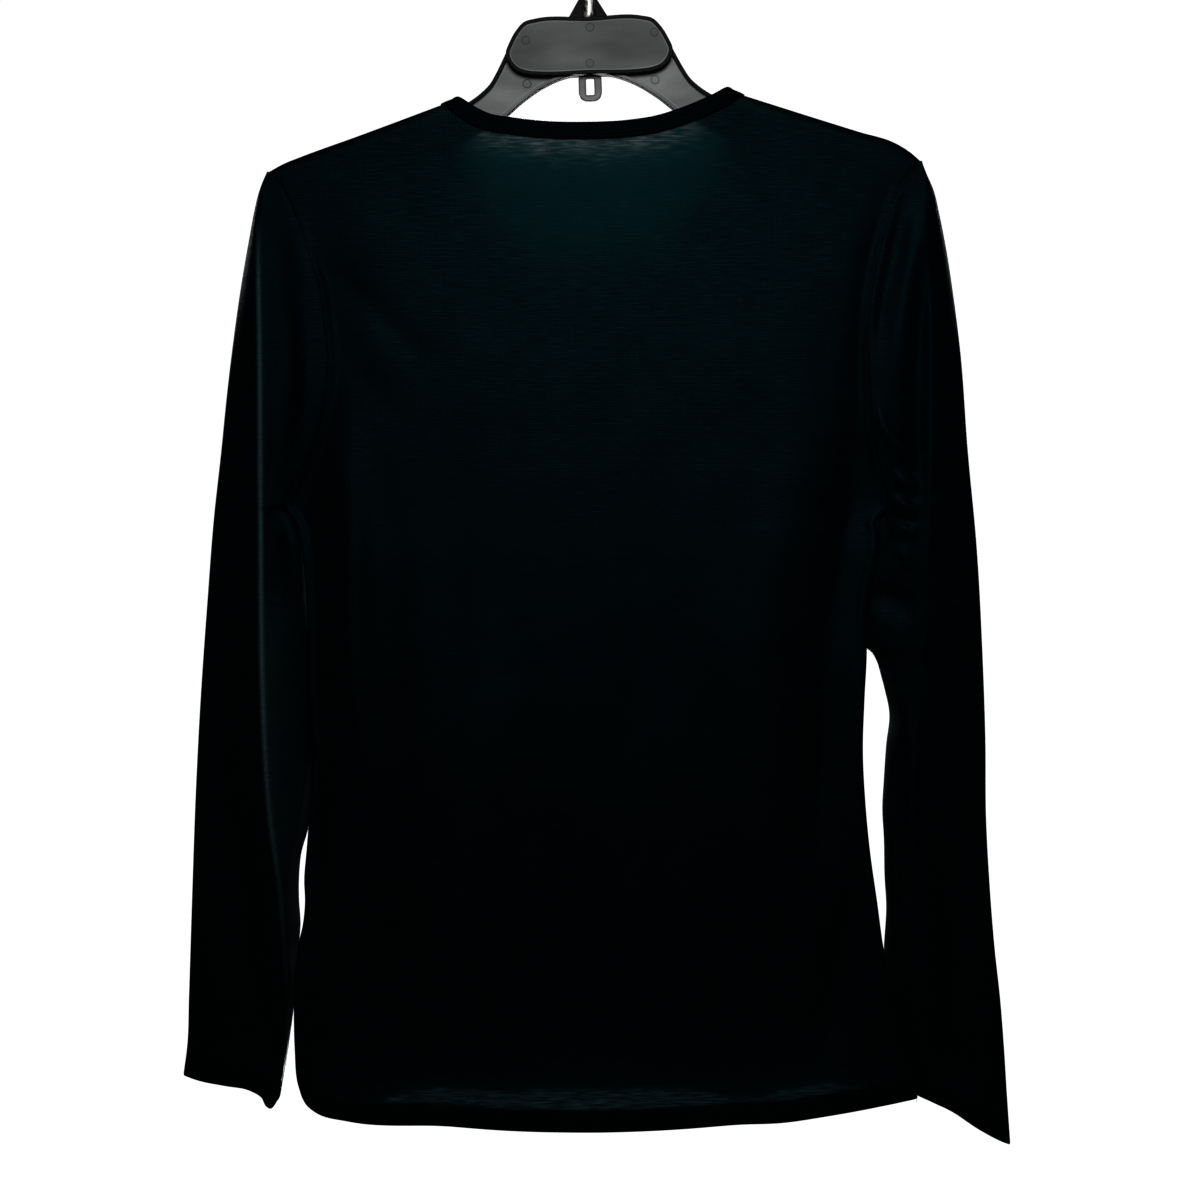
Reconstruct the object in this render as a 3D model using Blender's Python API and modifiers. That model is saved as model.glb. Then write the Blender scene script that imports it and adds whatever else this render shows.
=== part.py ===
"""A long-sleeved base layer top, hung on a moulded hanger with a metal hook.

Metres, +Z up. The origin is the point inside the top of the hook that rests on a rail.
-Y is the side that shows the garment's back, +Y its front, and -X its left as seen from -Y.
The tables and the functions that read them work in millimetres; MM turns them into metres.
"""

import math
from collections import namedtuple

import bmesh
import bpy
import numpy as np
from mathutils import Matrix

MM = 0.001

# --- Driving sizes, millimetres -------------------------------------------------------------
CLOTH_WALL = 1.1            # knitted jersey
SEAM_GAP = 0.3              # clearance between pieces that are sewn together
PANEL_GAP = 0.7             # between the middles of the two panels' edges, at shoulders and sides
ARMHOLE_GAP = 0.5           # the same at the armholes, where the walls meet a little askew
CORNER_GAP = 1.25           # and at the shoulder tips and underarm points
SHOULDER_ROUND = 6.5        # half thickness of the cloth where it bends over the hanger's arm
SIDE_FOLD = 3.4             # half thickness of the flat fold down each side of the body
SIDE_FORWARD = -6.0         # the body's sides lie this far in front of the sleeves' mid plane
FORWARD_DROP = 16.0         # and reach that place this far below the underarm point
SWELL_POWER = 2.6           # how flat the body is across its middle
FRONT_ARMHOLE_SCOOP = 9.0   # the front armhole is cut this much deeper than the back one
BINDING_WIDTH = 8.8         # finished neck binding, 3/8 inch
BINDING_THICK = 2.4
BINDING_GAP = 0.7           # from the middle of the panel's edge to the binding
SEAM_PIN = 6.0              # folds fade out over this distance from a seam

ARM_DEPTH = 9.5             # hanger: front to back over the rims
RIM_WIDTH = 2.2
WEB_RECESS = 3.5            # each face of the web lies this far behind the rims
HANGER_TILT = 1.7           # degrees, the right arm is the higher one
TILT_CENTRE_Z = -84.0
PLATE_THICK = 3.0
PLATE_RIM = 1.8
PLATE_RECESS = 0.6
TAB_THICK = 4.0
HOOK_WIRE = 5.0
HOOK_BEND = 20.0            # radius of the hook's centre line
SHANK_DIAMETER = 7.5        # the thicker foot of the hook, above the hanger

# --- Tables ---------------------------------------------------------------------------------
Point = namedtuple("Point", "x z")


def points(*rows):
    return [Point(*row) for row in rows]


# Seen from -Y. Armholes run from the shoulder tip down to the underarm point.
LEFT_ARMHOLE = points(
    (-205, -164), (-199, -170), (-190, -186.5), (-182.5, -205), (-176.5, -223), (-172, -238),
    (-169, -258.5), (-166.5, -277.5), (-167, -298), (-170, -319), (-174.5, -335), (-181, -350),
    (-187.5, -361.5), (-192.5, -370.5), (-196, -378),
)
RIGHT_ARMHOLE = points(
    (212, -157), (205, -163.5), (199.5, -171), (195, -181), (191.5, -192.5), (187, -209.5),
    (183, -226.5), (180, -245.5), (178.5, -268), (178.5, -290.5), (179, -309.5), (180.5, -328.5),
    (183.5, -343), (187.5, -359.5), (191.5, -376),
)
# Side seams run from the underarm point to the hem.
LEFT_SIDE = points(
    (-196, -378), (-191.5, -382.5), (-187.5, -387.5), (-185, -394.5), (-183, -405.5),
    (-181, -424.5), (-179, -463), (-178, -501.5), (-176.5, -527), (-177.5, -565.5),
    (-180, -597.5), (-181.5, -616.5), (-181, -629.5), (-182.5, -645.5), (-185.5, -658.5),
    (-187, -671), (-188, -693.5), (-187.5, -725.5), (-186, -744.5), (-183, -755),
)
RIGHT_SIDE = points(
    (191.5, -376), (190, -380.5), (185, -384), (183, -389), (184.5, -396), (184, -404),
    (182, -415), (178.5, -431), (176.5, -447), (177, -469.5), (175.5, -501.5), (174.5, -533.5),
    (176, -565.5), (179, -597.5), (183.5, -629.5), (188, -661.5), (191.5, -679), (199, -719),
    (205.5, -741.5), (209.5, -755),
)
# Shoulder seams and necklines run from left to right.
LEFT_SHOULDER = points((-205, -164), (-195, -158.5), (-185, -154.5), (-146.5, -140.5), (-93, -120.5))
RIGHT_SHOULDER = points((97.5, -114.5), (148, -130.5), (172, -138), (196, -145.5), (205, -151), (212, -157))
BACK_NECK = points(
    (-93, -120.5), (-85, -126), (-77.5, -131), (-67, -136), (-50.5, -139), (-28, -141.5),
    (0.5, -142), (27, -140.5), (45.5, -137.5), (61.5, -132.5), (74, -127.5), (86.5, -121.5),
    (93, -117.5), (97.5, -114.5),
)
FRONT_NECK_LEFT = points((-93, -120.5), (-93, -131.5), (-92, -143), (-87, -162.5), (-78.5, -183.5), (-66.5, -204))
FRONT_NECK_FOOT = points(
    (-66.5, -204), (-48.5, -221), (-27, -230), (0.5, -232.5), (29.5, -227.5), (51, -218), (71.5, -200),
)
FRONT_NECK_RIGHT = points((71.5, -200), (84, -181.5), (92, -161), (97, -136.5), (97.5, -114.5))
BACK_HEM = points(
    (-183, -755), (-178.5, -760.5), (-173.5, -764), (-153, -769), (-89, -771.5), (-57, -774),
    (7, -775.5), (39, -774.5), (71, -772.5), (96, -770.5), (122, -769.5), (154, -765), (186, -759.5),
    (209.5, -755),
)
FRONT_HEM = points(
    (-183, -753.5), (-166, -759.5), (-143.5, -757.5), (-121, -751), (-102, -746.5), (-57, -748.5),
    (7, -747), (71, -748.5), (100, -753.5), (128.5, -747), (148, -744), (173.5, -746.5),
    (192.5, -751), (209.5, -753.5),
)
# Sleeves: the outer outline from the shoulder tip, the underarm line from the underarm point,
# and the cuff from its outer to its inner corner.
LEFT_OUTER = points(
    (-205, -164), (-208.5, -170.5), (-211, -177), (-214, -189), (-217, -204.5), (-222.5, -236),
    (-228, -274.5), (-231.5, -303), (-235.5, -341.5), (-240.5, -386.5), (-244.5, -437.5),
    (-249, -501.5), (-252, -559), (-254.5, -629.5), (-256.5, -693.5), (-257.5, -722.5), (-260, -742),
)
LEFT_INNER = points(
    (-196, -378), (-189, -385), (-180.5, -402.5), (-177.5, -437.5), (-174.5, -488.5), (-174, -527),
    (-176, -559), (-181, -584.5), (-185.5, -600.5), (-187, -616.5), (-187, -629.5), (-186, -645.5),
    (-187, -661.5), (-186, -677.5), (-189.5, -695.5), (-192, -712.5), (-195, -732), (-199, -748),
)
LEFT_CUFF = points(
    (-260, -742), (-249, -745.5), (-233, -748.5), (-217, -751.5), (-209.5, -756), (-206.5, -761.5),
    (-204, -763), (-201, -760), (-199, -748),
)
RIGHT_OUTER = points(
    (212, -157), (215.5, -165), (220, -175), (224, -191), (228.5, -213.5), (233, -242.5),
    (237.5, -277.5), (242.5, -341.5), (248.5, -405.5), (252, -469.5), (254, -527), (254.5, -578.5),
    (256.5, -616.5), (260, -661.5), (263.5, -693.5), (266, -725.5), (268, -757.5), (270, -786.5),
)
RIGHT_INNER = points(
    (191.5, -376), (186, -386.5), (182, -404), (176.5, -424.5), (174, -444), (173.5, -458),
    (176, -466.5), (182, -471), (185.5, -477), (188, -485.5), (190.5, -495), (193.5, -510),
    (191.5, -530.5), (190, -552.5), (189, -572), (190, -591), (190.5, -616.5), (191.5, -632.5),
    (190, -661.5), (189.5, -687), (194, -712.5), (201, -738.5), (206.5, -753.5),
)
RIGHT_CUFF = points((270, -786.5), (263, -783.5), (250, -776.5), (231, -764), (218, -758), (206.5, -753.5))

# How far the body's cloth stands off its mid plane: at its edges, and at the middle of each panel.
BodyDepth = namedtuple("BodyDepth", "z edge back front")
BODY_DEPTHS = [
    BodyDepth(-115, 7.0, 7.2, 7.2),
    BodyDepth(-165, 7.5, 7.8, 8.5),
    BodyDepth(-225, 9.5, 10.5, 12.5),
    BodyDepth(-300, 9.5, 13.0, 16.0),
    BodyDepth(-345, 7.0, 14.0, 17.0),
    BodyDepth(-378, 3.4, 14.5, 17.5),
    BodyDepth(-500, 3.4, 13.5, 16.0),
    BodyDepth(-650, 3.4, 14.5, 17.0),
    BodyDepth(-780, 3.6, 17.0, 19.0),
]
# The sleeves' mid plane at the outer fold, and half their thickness on the two sides.
SleeveDepth = namedtuple("SleeveDepth", "z outer back front")
SLEEVE_DEPTHS = [
    SleeveDepth(-160, 0.0, 6.5, 6.5),
    SleeveDepth(-205, 1.0, 9.0, 9.5),
    SleeveDepth(-300, 3.0, 10.5, 12.0),
    SleeveDepth(-400, 5.0, 9.5, 12.0),
    SleeveDepth(-550, 6.0, 9.0, 11.0),
    SleeveDepth(-700, 6.0, 9.5, 11.5),
    SleeveDepth(-790, 6.0, 10.0, 12.0),
]
# Below the underarm point the sleeves' inner edge first stands away from the body, then slips
# behind it.
UnderarmSlip = namedtuple("UnderarmSlip", "drop y away")
UNDERARM_SLIP = [
    UnderarmSlip(0, 0.0, 1.4),
    UnderarmSlip(2, 3.0, 2.4),
    UnderarmSlip(6, 8.0, 1.6),
    UnderarmSlip(16, 11.0, 0.0),
    UnderarmSlip(60, 12.0, 0.0),
]

# Large folds: height above the sheet (minus for a trough), half width, and the line it follows.
Fold = namedtuple("Fold", "height width path")
FOLDS = {
    "back_panel": [
        Fold(-5.0, 6.0, points((-166, -280), (-162, -341), (-161.5, -386), (-163, -437), (-165, -527))),
        Fold(3.0, 8.0, points((-158, -297), (-153.5, -399), (-145.5, -501), (-139, -578))),
        Fold(1.5, 5.0, points((-160, -508), (-167, -661))),
        Fold(-1.5, 6.0, points((-164, -225), (-153, -236), (-139, -251))),
        Fold(-6.5, 11.0, points((178, -265), (159.5, -341), (135, -412), (127.5, -501), (128, -668))),
        Fold(3.5, 9.0, points((176, -316), (177, -374), (165, -437), (152, -540), (150, -648))),
        Fold(-4.0, 11.0, points((174, -597), (160, -661), (144, -732), (134, -751))),
        Fold(2.0, 22.0, points((-120, -640), (-128, -700), (-135, -752))),
        Fold(2.0, 26.0, points((30, -560), (44, -660), (50, -750))),
    ],
    "front_panel": [
        Fold(-5.0, 12.0, points((-166, -285), (-150, -345), (-138, -420), (-134, -520), (-140, -640))),
        Fold(3.0, 14.0, points((-112, -330), (-106, -440), (-110, -600))),
        Fold(-4.5, 11.0, points((174, -290), (158, -350), (146, -430), (143, -540), (150, -650))),
        Fold(2.5, 20.0, points((20, -520), (8, -640), (12, -742))),
        Fold(-2.5, 16.0, points((-62, -560), (-70, -660), (-66, -740))),
    ],
    "sleeve_left_back": [
        Fold(4.0, 5.0, points((-210.5, -181), (-210, -277), (-209.5, -399), (-208.5, -501), (-204, -578), (-194.5, -668),
                              (-195, -725), (-204, -757))),
        Fold(-9.0, 6.5, points((-201, -172), (-193.5, -221), (-184.5, -277), (-190, -328), (-199, -392), (-203, -437))),
        Fold(-2.0, 7.0, points((-219, -239), (-220, -309), (-221.5, -405))),
    ],
    "sleeve_left_front": [
        Fold(-6.0, 7.0, points((-203, -176), (-196, -235), (-190, -300), (-200, -400))),
        Fold(3.0, 7.0, points((-216, -200), (-218, -330), (-214, -480), (-212, -640))),
    ],
    "sleeve_right_back": [
        Fold(3.5, 6.0, points((214, -170), (204, -221), (194, -274), (190, -311))),
        Fold(4.0, 6.0, points((215.5, -191), (219, -239), (216.5, -309), (217.5, -374), (208.5, -463), (202, -514))),
        Fold(-5.0, 5.5, points((206.5, -239), (203, -309), (205.5, -335))),
        Fold(-3.5, 8.0, points((222, -191), (228, -309), (235.5, -450), (232, -600))),
        Fold(3.5, 4.0, points((184.5, -311), (193.5, -334), (205, -348), (210, -362))),
    ],
    "sleeve_right_front": [
        Fold(-6.0, 7.0, points((209, -170), (202, -232), (198, -300), (206, -400))),
        Fold(3.0, 7.0, points((222, -200), (224, -330), (222, -480), (226, -650))),
    ],
}

# Where the rows and columns of the sheets lie. Fractions run from 0 to 1.
ARMHOLE_STEPS = (0, 0.008, 0.025, 0.055, 0.1, 0.16, 0.24, 0.34, 0.44, 0.54, 0.64, 0.75, 0.86, 0.95, 1)
NECK_ROWS = 6               # the front shoulder pieces end at this armhole step
SIDE_STEPS = (0.02, 0.05, 0.1, 0.17, 0.25, 0.34, 0.44, 0.54, 0.64, 0.74, 0.84, 0.93, 1)
UNDERARM_STEPS = (0.015, 0.04, 0.08, 0.15, 0.24, 0.33, 0.43, 0.53, 0.63, 0.73, 0.83, 0.92, 1)
FOLD_COLUMNS = (0, 0.5, 1.6, 3.4)   # millimetres in from the body's side
SLEEVE_BACK_COLUMNS = (0, 0.012, 0.045, 0.1, 0.18, 0.26, 0.34, 0.42, 0.5, 0.58, 0.66, 0.75, 0.84, 0.92, 0.975, 1)
SLEEVE_FRONT_COLUMNS = (0, 0.012, 0.045, 0.1, 0.22, 0.36, 0.5, 0.64, 0.78, 0.9, 0.97, 1)
SLIP_SPREAD = 45            # near the underarm only the inner part of the sleeve slips back
OUTER_ROUND = 0.1           # share of the sleeve's width taken by the outer fold
INNER_ROUND = 0.25          # and by the underarm fold

# Hanger, untilted, right half, x from the middle: outer contour down to the arm's tip, and back
# along the underside to the arch.
FRAME_TOP = points(
    (0, -67), (36, -67), (46, -73), (53, -86), (57, -94), (60.5, -100.5), (64, -106), (68.5, -110.5),
    (74, -114.7), (80, -118.3), (88, -121.5), (98, -124), (140, -136.5), (184, -151.5),
)
FRAME_TIP = points((189, -155.5), (190.5, -161), (188, -167), (181, -170.5))
FRAME_UNDER = points(
    (155, -166), (120, -157.5), (90, -148), (70, -138.5), (55, -127.5), (43, -117.5), (30, -109),
    (15, -103), (0, -101),
)
PLATE_OUTLINE = points(
    (0, -65.7), (34, -65.7), (41, -67.5), (46, -72.5), (51, -81), (53.3, -87), (52, -92.5),
    (47.5, -98), (40, -101), (33, -101.8), (0, -101.8),
)
TAB_OUTLINE = points((0, -118.4), (3.6, -118.2), (6.2, -116.4), (7.4, -113.4), (7.4, -103.2), (0, -101.3))
TAB_SLOT = points((0, -114.6), (2.6, -114.6), (2.6, -104), (0, -104))
SOCKET_OUTLINE = points((0, -66.7), (13.6, -66.7), (4.9, -52), (0, -52))
HookStep = namedtuple("HookStep", "x z width")
HOOK_FOOT = [
    HookStep(0, -66.6, SHANK_DIAMETER), HookStep(0, -60, SHANK_DIAMETER), HookStep(0, -53, SHANK_DIAMETER),
    HookStep(0, -50.5, HOOK_WIRE), HookStep(1.2, -46.5, HOOK_WIRE), HookStep(4.6, -42, HOOK_WIRE),
    HookStep(9, -37.7, HOOK_WIRE), HookStep(12.6, -33.8, HOOK_WIRE),
]
HOOK_ARC = (-42, 196)       # degrees, from the foot over the top to the tip
HOOK_ARC_STEPS = 22

# --- Colours, roughness and metal of each sub-part --------------------------------------------
Finish = namedtuple("Finish", "colour roughness metallic")
JERSEY = Finish((0.006, 0.010, 0.013), 0.85, 0.0)
JERSEY_BINDING = Finish((0.005, 0.008, 0.012), 0.85, 0.0)
BLACK_STYRENE = Finish((0.012, 0.013, 0.014), 0.30, 0.0)
PLATED_STEEL = Finish((0.55, 0.55, 0.53), 0.35, 1.0)


# --- Curves -----------------------------------------------------------------------------------
def smooth_curve(rows, steps=14):
    """Dense points of a smooth curve through the rows of a table."""
    knots = np.array(rows, dtype=float)
    chord = np.concatenate([[0.0], np.cumsum(np.linalg.norm(np.diff(knots, axis=0), axis=1))])
    slope = np.gradient(knots, chord, axis=0)
    dense = []
    for i in range(len(knots) - 1):
        span = chord[i + 1] - chord[i]
        for t in np.linspace(0, 1, steps, endpoint=False):
            start = (1 + 2 * t) * (1 - t) ** 2 * knots[i] + t * (1 - t) ** 2 * span * slope[i]
            end = t * t * (3 - 2 * t) * knots[i + 1] + t * t * (t - 1) * span * slope[i + 1]
            dense.append(start + end)
    dense.append(knots[-1])
    return np.array(dense)


def along(curve, fraction):
    """The curve's points at fractions of its length."""
    length = np.concatenate([[0.0], np.cumsum(np.linalg.norm(np.diff(curve, axis=0), axis=1))])
    wanted = np.asarray(fraction) * length[-1]
    return np.stack([np.interp(wanted, length, column) for column in curve.T], axis=-1)


def unit(vectors):
    return vectors / np.linalg.norm(vectors, axis=-1, keepdims=True)


def x_at_height(curve, z):
    return float(np.interp(-z, -curve[:, 1], curve[:, 0]))


def quarter_round(distance, radius):
    """0 at an edge, rising like a quarter circle to 1 at the radius."""
    return math.sqrt(max(0.0, 1 - (1 - min(max(distance, 0.0) / radius, 1)) ** 2))


def column(table, name):
    return [getattr(row, name) for row in table]


def read_depth(table, name, z):
    """A column of a depth table at height z. The tables run downwards."""
    return float(np.interp(-z, [-row.z for row in table], column(table, name)))


def inward_scoop(armhole, towards):
    """The front armhole: the back one, moved towards the chest in its middle."""
    share = np.linspace(0, 1, len(armhole))
    shift = FRONT_ARMHOLE_SCOOP * np.sin(math.pi * share) ** 1.5
    return [Point(row.x + towards * d, row.z) for row, d in zip(armhole, shift)]


ARMHOLES = {
    ("back_panel", "left"): smooth_curve(LEFT_ARMHOLE),
    ("back_panel", "right"): smooth_curve(RIGHT_ARMHOLE),
    ("front_panel", "left"): smooth_curve(inward_scoop(LEFT_ARMHOLE, 1)),
    ("front_panel", "right"): smooth_curve(inward_scoop(RIGHT_ARMHOLE, -1)),
}
SIDES = {"left": smooth_curve(LEFT_SIDE), "right": smooth_curve(RIGHT_SIDE)}
SHOULDERS = np.vstack([smooth_curve(LEFT_SHOULDER), smooth_curve(RIGHT_SHOULDER)])
UNDERARM_POINT = {"left": LEFT_SIDE[0], "right": RIGHT_SIDE[0]}
DIRECTION = {"left": -1, "right": 1}


# --- The body's form --------------------------------------------------------------------------
def body_edge_x(panel, side, z):
    """Where the panel ends sideways: at its armhole, and lower down at its side seam."""
    if z > UNDERARM_POINT[side].z:
        return x_at_height(ARMHOLES[panel, side], z)
    return x_at_height(SIDES[side], z)


def from_side_fold(side, x, z):
    """Distance from the fold that runs down the side from the underarm point."""
    corner = UNDERARM_POINT[side]
    if z > corner.z:
        return math.hypot(x - corner.x, z - corner.z)
    return abs(x - x_at_height(SIDES[side], z))


def fold_height(sheet, x, z):
    """How far the named folds lift the sheet outwards at a point."""
    here = np.array((x, z), dtype=float)
    height = 0.0
    for fold in FOLDS[sheet]:
        path = np.array(fold.path, dtype=float)
        start, step = path[:-1], np.diff(path, axis=0)
        share = np.clip(((here - start) * step).sum(axis=1) / (step ** 2).sum(axis=1), 0, 1)
        gap = np.linalg.norm(here - (start + share[:, None] * step), axis=1).min()
        height += fold.height * math.exp(-((gap / fold.width) ** 2))
    return height


def body_y(panel, x, z):
    """The panel's place from front to back."""
    left = body_edge_x(panel, "left", z)
    right = body_edge_x(panel, "right", z)
    across = min(max((x - left) / (right - left), 0), 1)
    edge = read_depth(BODY_DEPTHS, "edge", z)
    middle = read_depth(BODY_DEPTHS, panel.split("_")[0], z)
    depth = edge + (middle - edge) * (1 - abs(2 * across - 1) ** SWELL_POWER)
    near_side = min(x - left, right - x)
    depth += fold_height(panel, x, z) * min(max(near_side / SEAM_PIN, 0), 1)
    fall = float(np.interp(x, SHOULDERS[:, 0], SHOULDERS[:, 1])) - z
    depth *= quarter_round(fall, SHOULDER_ROUND)
    depth *= quarter_round(min(from_side_fold("left", x, z), from_side_fold("right", x, z)), SIDE_FOLD)
    depth = max(depth, PANEL_GAP / 2)
    lowered = min(max((UNDERARM_POINT["left"].z - z) / FORWARD_DROP, 0), 1)
    middle_plane = SIDE_FORWARD * lowered * abs(2 * across - 1) ** 3
    return middle_plane + (-depth if panel == "back_panel" else depth)


def coons_patch(top, bottom, left, right, across, down):
    """A grid of (x, z) points between four curves, each sampled at the given fractions."""
    grid = np.zeros((len(down), len(across), 2))
    for i, v in enumerate(down):
        for j, u in enumerate(across):
            blend = (1 - v) * top[j] + v * bottom[j] + (1 - u) * left[i] + u * right[i]
            corners = (1 - u) * ((1 - v) * top[0] + v * bottom[0]) + u * ((1 - v) * top[-1] + v * bottom[-1])
            grid[i, j] = blend - corners
    return grid


def falling_fractions(left, right):
    """How far down each row lies, as the mean of the two sides."""
    drops = [(edge[0, 1] - edge[:, 1]) / (edge[0, 1] - edge[-1, 1]) for edge in (left, right)]
    return (drops[0] + drops[1]) / 2


def edge_points(panel, side, first=0):
    """The panel's side from the given armhole step down to the hem, one point a row."""
    armhole = along(ARMHOLES[panel, side], ARMHOLE_STEPS[first:])
    return np.vstack([armhole, along(SIDES[side], SIDE_STEPS)])


def spread(start, stop, count):
    return list(np.linspace(start, stop, count + 1)[1:])


def across_at(x, left_x, right_x):
    return (x - left_x) / (right_x - left_x)


def side_columns(width):
    return [step / width for step in FOLD_COLUMNS]


def panel_columns(left_x, right_x, marks):
    """Fractions across a panel: close together in the side folds, then evenly up to each mark."""
    width = right_x - left_x
    near = side_columns(width)
    columns = list(near)
    for x, count in marks:
        columns += spread(columns[-1], across_at(x, left_x, right_x), count)
    last_x, last_count = marks[-1]
    far = [1 - step for step in reversed(near)]
    columns = columns[:-1] + [far[0]] if abs(columns[-1] - far[0]) < 1e-6 else columns + [far[0]]
    return columns + far[1:]


def back_panel_grid():
    left = edge_points("back_panel", "left")
    right = edge_points("back_panel", "right")
    start, stop = LEFT_ARMHOLE[0].x, RIGHT_ARMHOLE[0].x
    width = stop - start
    marks = [(-134, 7), (BACK_NECK[0].x, 2), (-90, 1), (-85, 1), (-77, 1), (-66, 1), (-52, 1), (54, 5)]
    marks += [(68, 1), (80, 1), (89, 1), (94.5, 1), (BACK_NECK[-1].x, 1), (136, 2), (stop - FOLD_COLUMNS[-1], 7)]
    across = panel_columns(start, stop, marks)
    down = falling_fractions(left, right)
    line = np.vstack([smooth_curve(LEFT_SHOULDER), smooth_curve(BACK_NECK), smooth_curve(RIGHT_SHOULDER)])
    top = np.array([(start + u * width, np.interp(start + u * width, line[:, 0], line[:, 1])) for u in across])
    bottom = along(smooth_curve(BACK_HEM), across)
    return [coons_patch(top, bottom, left, right, across, down)]


def front_panel_grids():
    """Two shoulder pieces beside the neck, and the rest of the panel below them."""
    left = edge_points("front_panel", "left")
    right = edge_points("front_panel", "right")
    neck_left, neck_right = smooth_curve(FRONT_NECK_LEFT), smooth_curve(FRONT_NECK_RIGHT)
    upper = NECK_ROWS + 1
    grids = []
    left_across = [0, 0.005, 0.014, 0.03, 0.14, 0.26, 0.39, 0.52, 0.66, 0.8, 0.9, 1]
    right_across = [1 - u for u in reversed(left_across)]
    drop = (left[0, 1] - left[:upper, 1]) / (left[0, 1] - left[NECK_ROWS, 1])
    top = along(smooth_curve(LEFT_SHOULDER), left_across)
    foot = np.array([left[NECK_ROWS] * (1 - u) + np.array(FRONT_NECK_LEFT[-1]) * u for u in left_across])
    grids.append(coons_patch(top, foot, left[:upper], along(neck_left, drop), left_across, drop))
    drop = (right[0, 1] - right[:upper, 1]) / (right[0, 1] - right[NECK_ROWS, 1])
    top = along(smooth_curve(RIGHT_SHOULDER), right_across)
    right_foot = np.array([np.array(FRONT_NECK_RIGHT[0]) * (1 - u) + right[NECK_ROWS] * u for u in right_across])
    grids.append(coons_patch(top, right_foot, along(neck_right[::-1], drop), right[:upper], right_across, drop))
    neck_foot = along(smooth_curve(FRONT_NECK_FOOT), np.linspace(0, 1, 11))
    top = np.vstack([foot, neck_foot[1:-1], right_foot])
    across = np.array([across_at(x, top[0, 0], top[-1, 0]) for x in top[:, 0]])
    down = falling_fractions(left[NECK_ROWS:], right[NECK_ROWS:])
    bottom = along(smooth_curve(FRONT_HEM), across)
    grids.append(coons_patch(top, bottom, left[NECK_ROWS:], right[NECK_ROWS:], across, down))
    return grids


# --- Sleeves ----------------------------------------------------------------------------------
def sleeve_half(side, face, outer, inner, edge_depth, shares):
    """Half a ring of the sleeve, from the outer fold (share 0) to the inner edge (share 1)."""
    z = (outer[2] + inner[2]) / 2
    depth = read_depth(SLEEVE_DEPTHS, face, z)
    bend = 1 + 4 * math.exp(-abs(inner[2] - UNDERARM_POINT[side].z) / SLIP_SPREAD)
    outwards = -1 if face == "back" else 1
    width = abs(inner[0] - outer[0])
    ring = []
    for share in shares:
        x = outer[0] + (inner[0] - outer[0]) * share
        level = outer[2] + (inner[2] - outer[2]) * share
        plane = outer[1] + (inner[1] - outer[1]) * share ** bend
        body = edge_depth + (depth - edge_depth) * quarter_round(1 - share, INNER_ROUND)
        pinned = min(width * (1 - share) / SEAM_PIN, 1) * min(width * share / SEAM_PIN, 1)
        body += fold_height(f"sleeve_{side}_{face}", x, level) * pinned
        ring.append((x, plane + outwards * body * quarter_round(share, OUTER_ROUND), level))
    return ring


def sleeve_ring(side, outer, inner_back, inner_front, back_depth, front_depth):
    back = sleeve_half(side, "back", outer, inner_back, back_depth, SLEEVE_BACK_COLUMNS)
    front = sleeve_half(side, "front", outer, inner_front, front_depth, SLEEVE_FRONT_COLUMNS)
    return back[::-1] + front[1:]


def clear_of(seam, out):
    """The seam's points moved squarely off the body, by more at its two ends."""
    along_seam = unit(np.gradient(seam, axis=0))
    square = np.stack([-along_seam[:, 1], along_seam[:, 0]], axis=1)
    square *= np.sign(square[:, 0] * out)[:, None]
    steps = np.array(ARMHOLE_STEPS)
    near_end = np.clip(1 - np.minimum(steps / 0.12, (1 - steps) / 0.3), 0, 1)
    gap = ARMHOLE_GAP + (CORNER_GAP - ARMHOLE_GAP) * near_end
    return seam + square * gap[:, None]


def sleeve_grid(side, outer_rows, inner_rows, cuff_rows):
    """Rows down the armhole, open towards the body, then closed rings down to the cuff."""
    out = DIRECTION[side]
    outer_line, inner_line = smooth_curve(outer_rows), smooth_curve(inner_rows)
    seams = {face: along(ARMHOLES[face + "_panel", side], ARMHOLE_STEPS) for face in ("back", "front")}
    edges = {face: clear_of(seam, out) for face, seam in seams.items()}
    tip = (edges["back"][0, 0], 0.0, edges["back"][0, 1])
    rows = [[tip] * (len(SLEEVE_BACK_COLUMNS) + len(SLEEVE_FRONT_COLUMNS) - 1)]
    for i in range(1, len(ARMHOLE_STEPS) - 1):
        back, front = [(edges[face][i, 0], 0.0, edges[face][i, 1]) for face in ("back", "front")]
        outer = (x_at_height(outer_line, back[2]), read_depth(SLEEVE_DEPTHS, "outer", back[2]), back[2])
        depth_back = -body_y("back_panel", *seams["back"][i])
        depth_front = body_y("front_panel", *seams["front"][i])
        rows.append(sleeve_ring(side, outer, back, front, depth_back, depth_front))
    corner = UNDERARM_POINT[side]
    lower_outer = outer_line[outer_line[:, 1] < corner.z]
    lower_outer = np.vstack([[x_at_height(outer_line, corner.z), corner.z], lower_outer])
    cuff = smooth_curve(cuff_rows)
    for step in (0,) + UNDERARM_STEPS:
        outer_x, outer_z = along(lower_outer, step)
        inner_x, inner_z = along(inner_line, step)
        drop = corner.z - inner_z
        slip, away = [np.interp(drop, column(UNDERARM_SLIP, "drop"), column(UNDERARM_SLIP, name))
                      for name in ("y", "away")]
        outer = (outer_x, read_depth(SLEEVE_DEPTHS, "outer", outer_z), outer_z)
        inner = (inner_x + out * away, slip, inner_z)
        ring = sleeve_ring(side, outer, inner, inner, 0.0, 0.0)
        rows.append(bend_to_cuff(ring, outer, inner, cuff, step ** 4))
    return np.array(rows)


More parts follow.
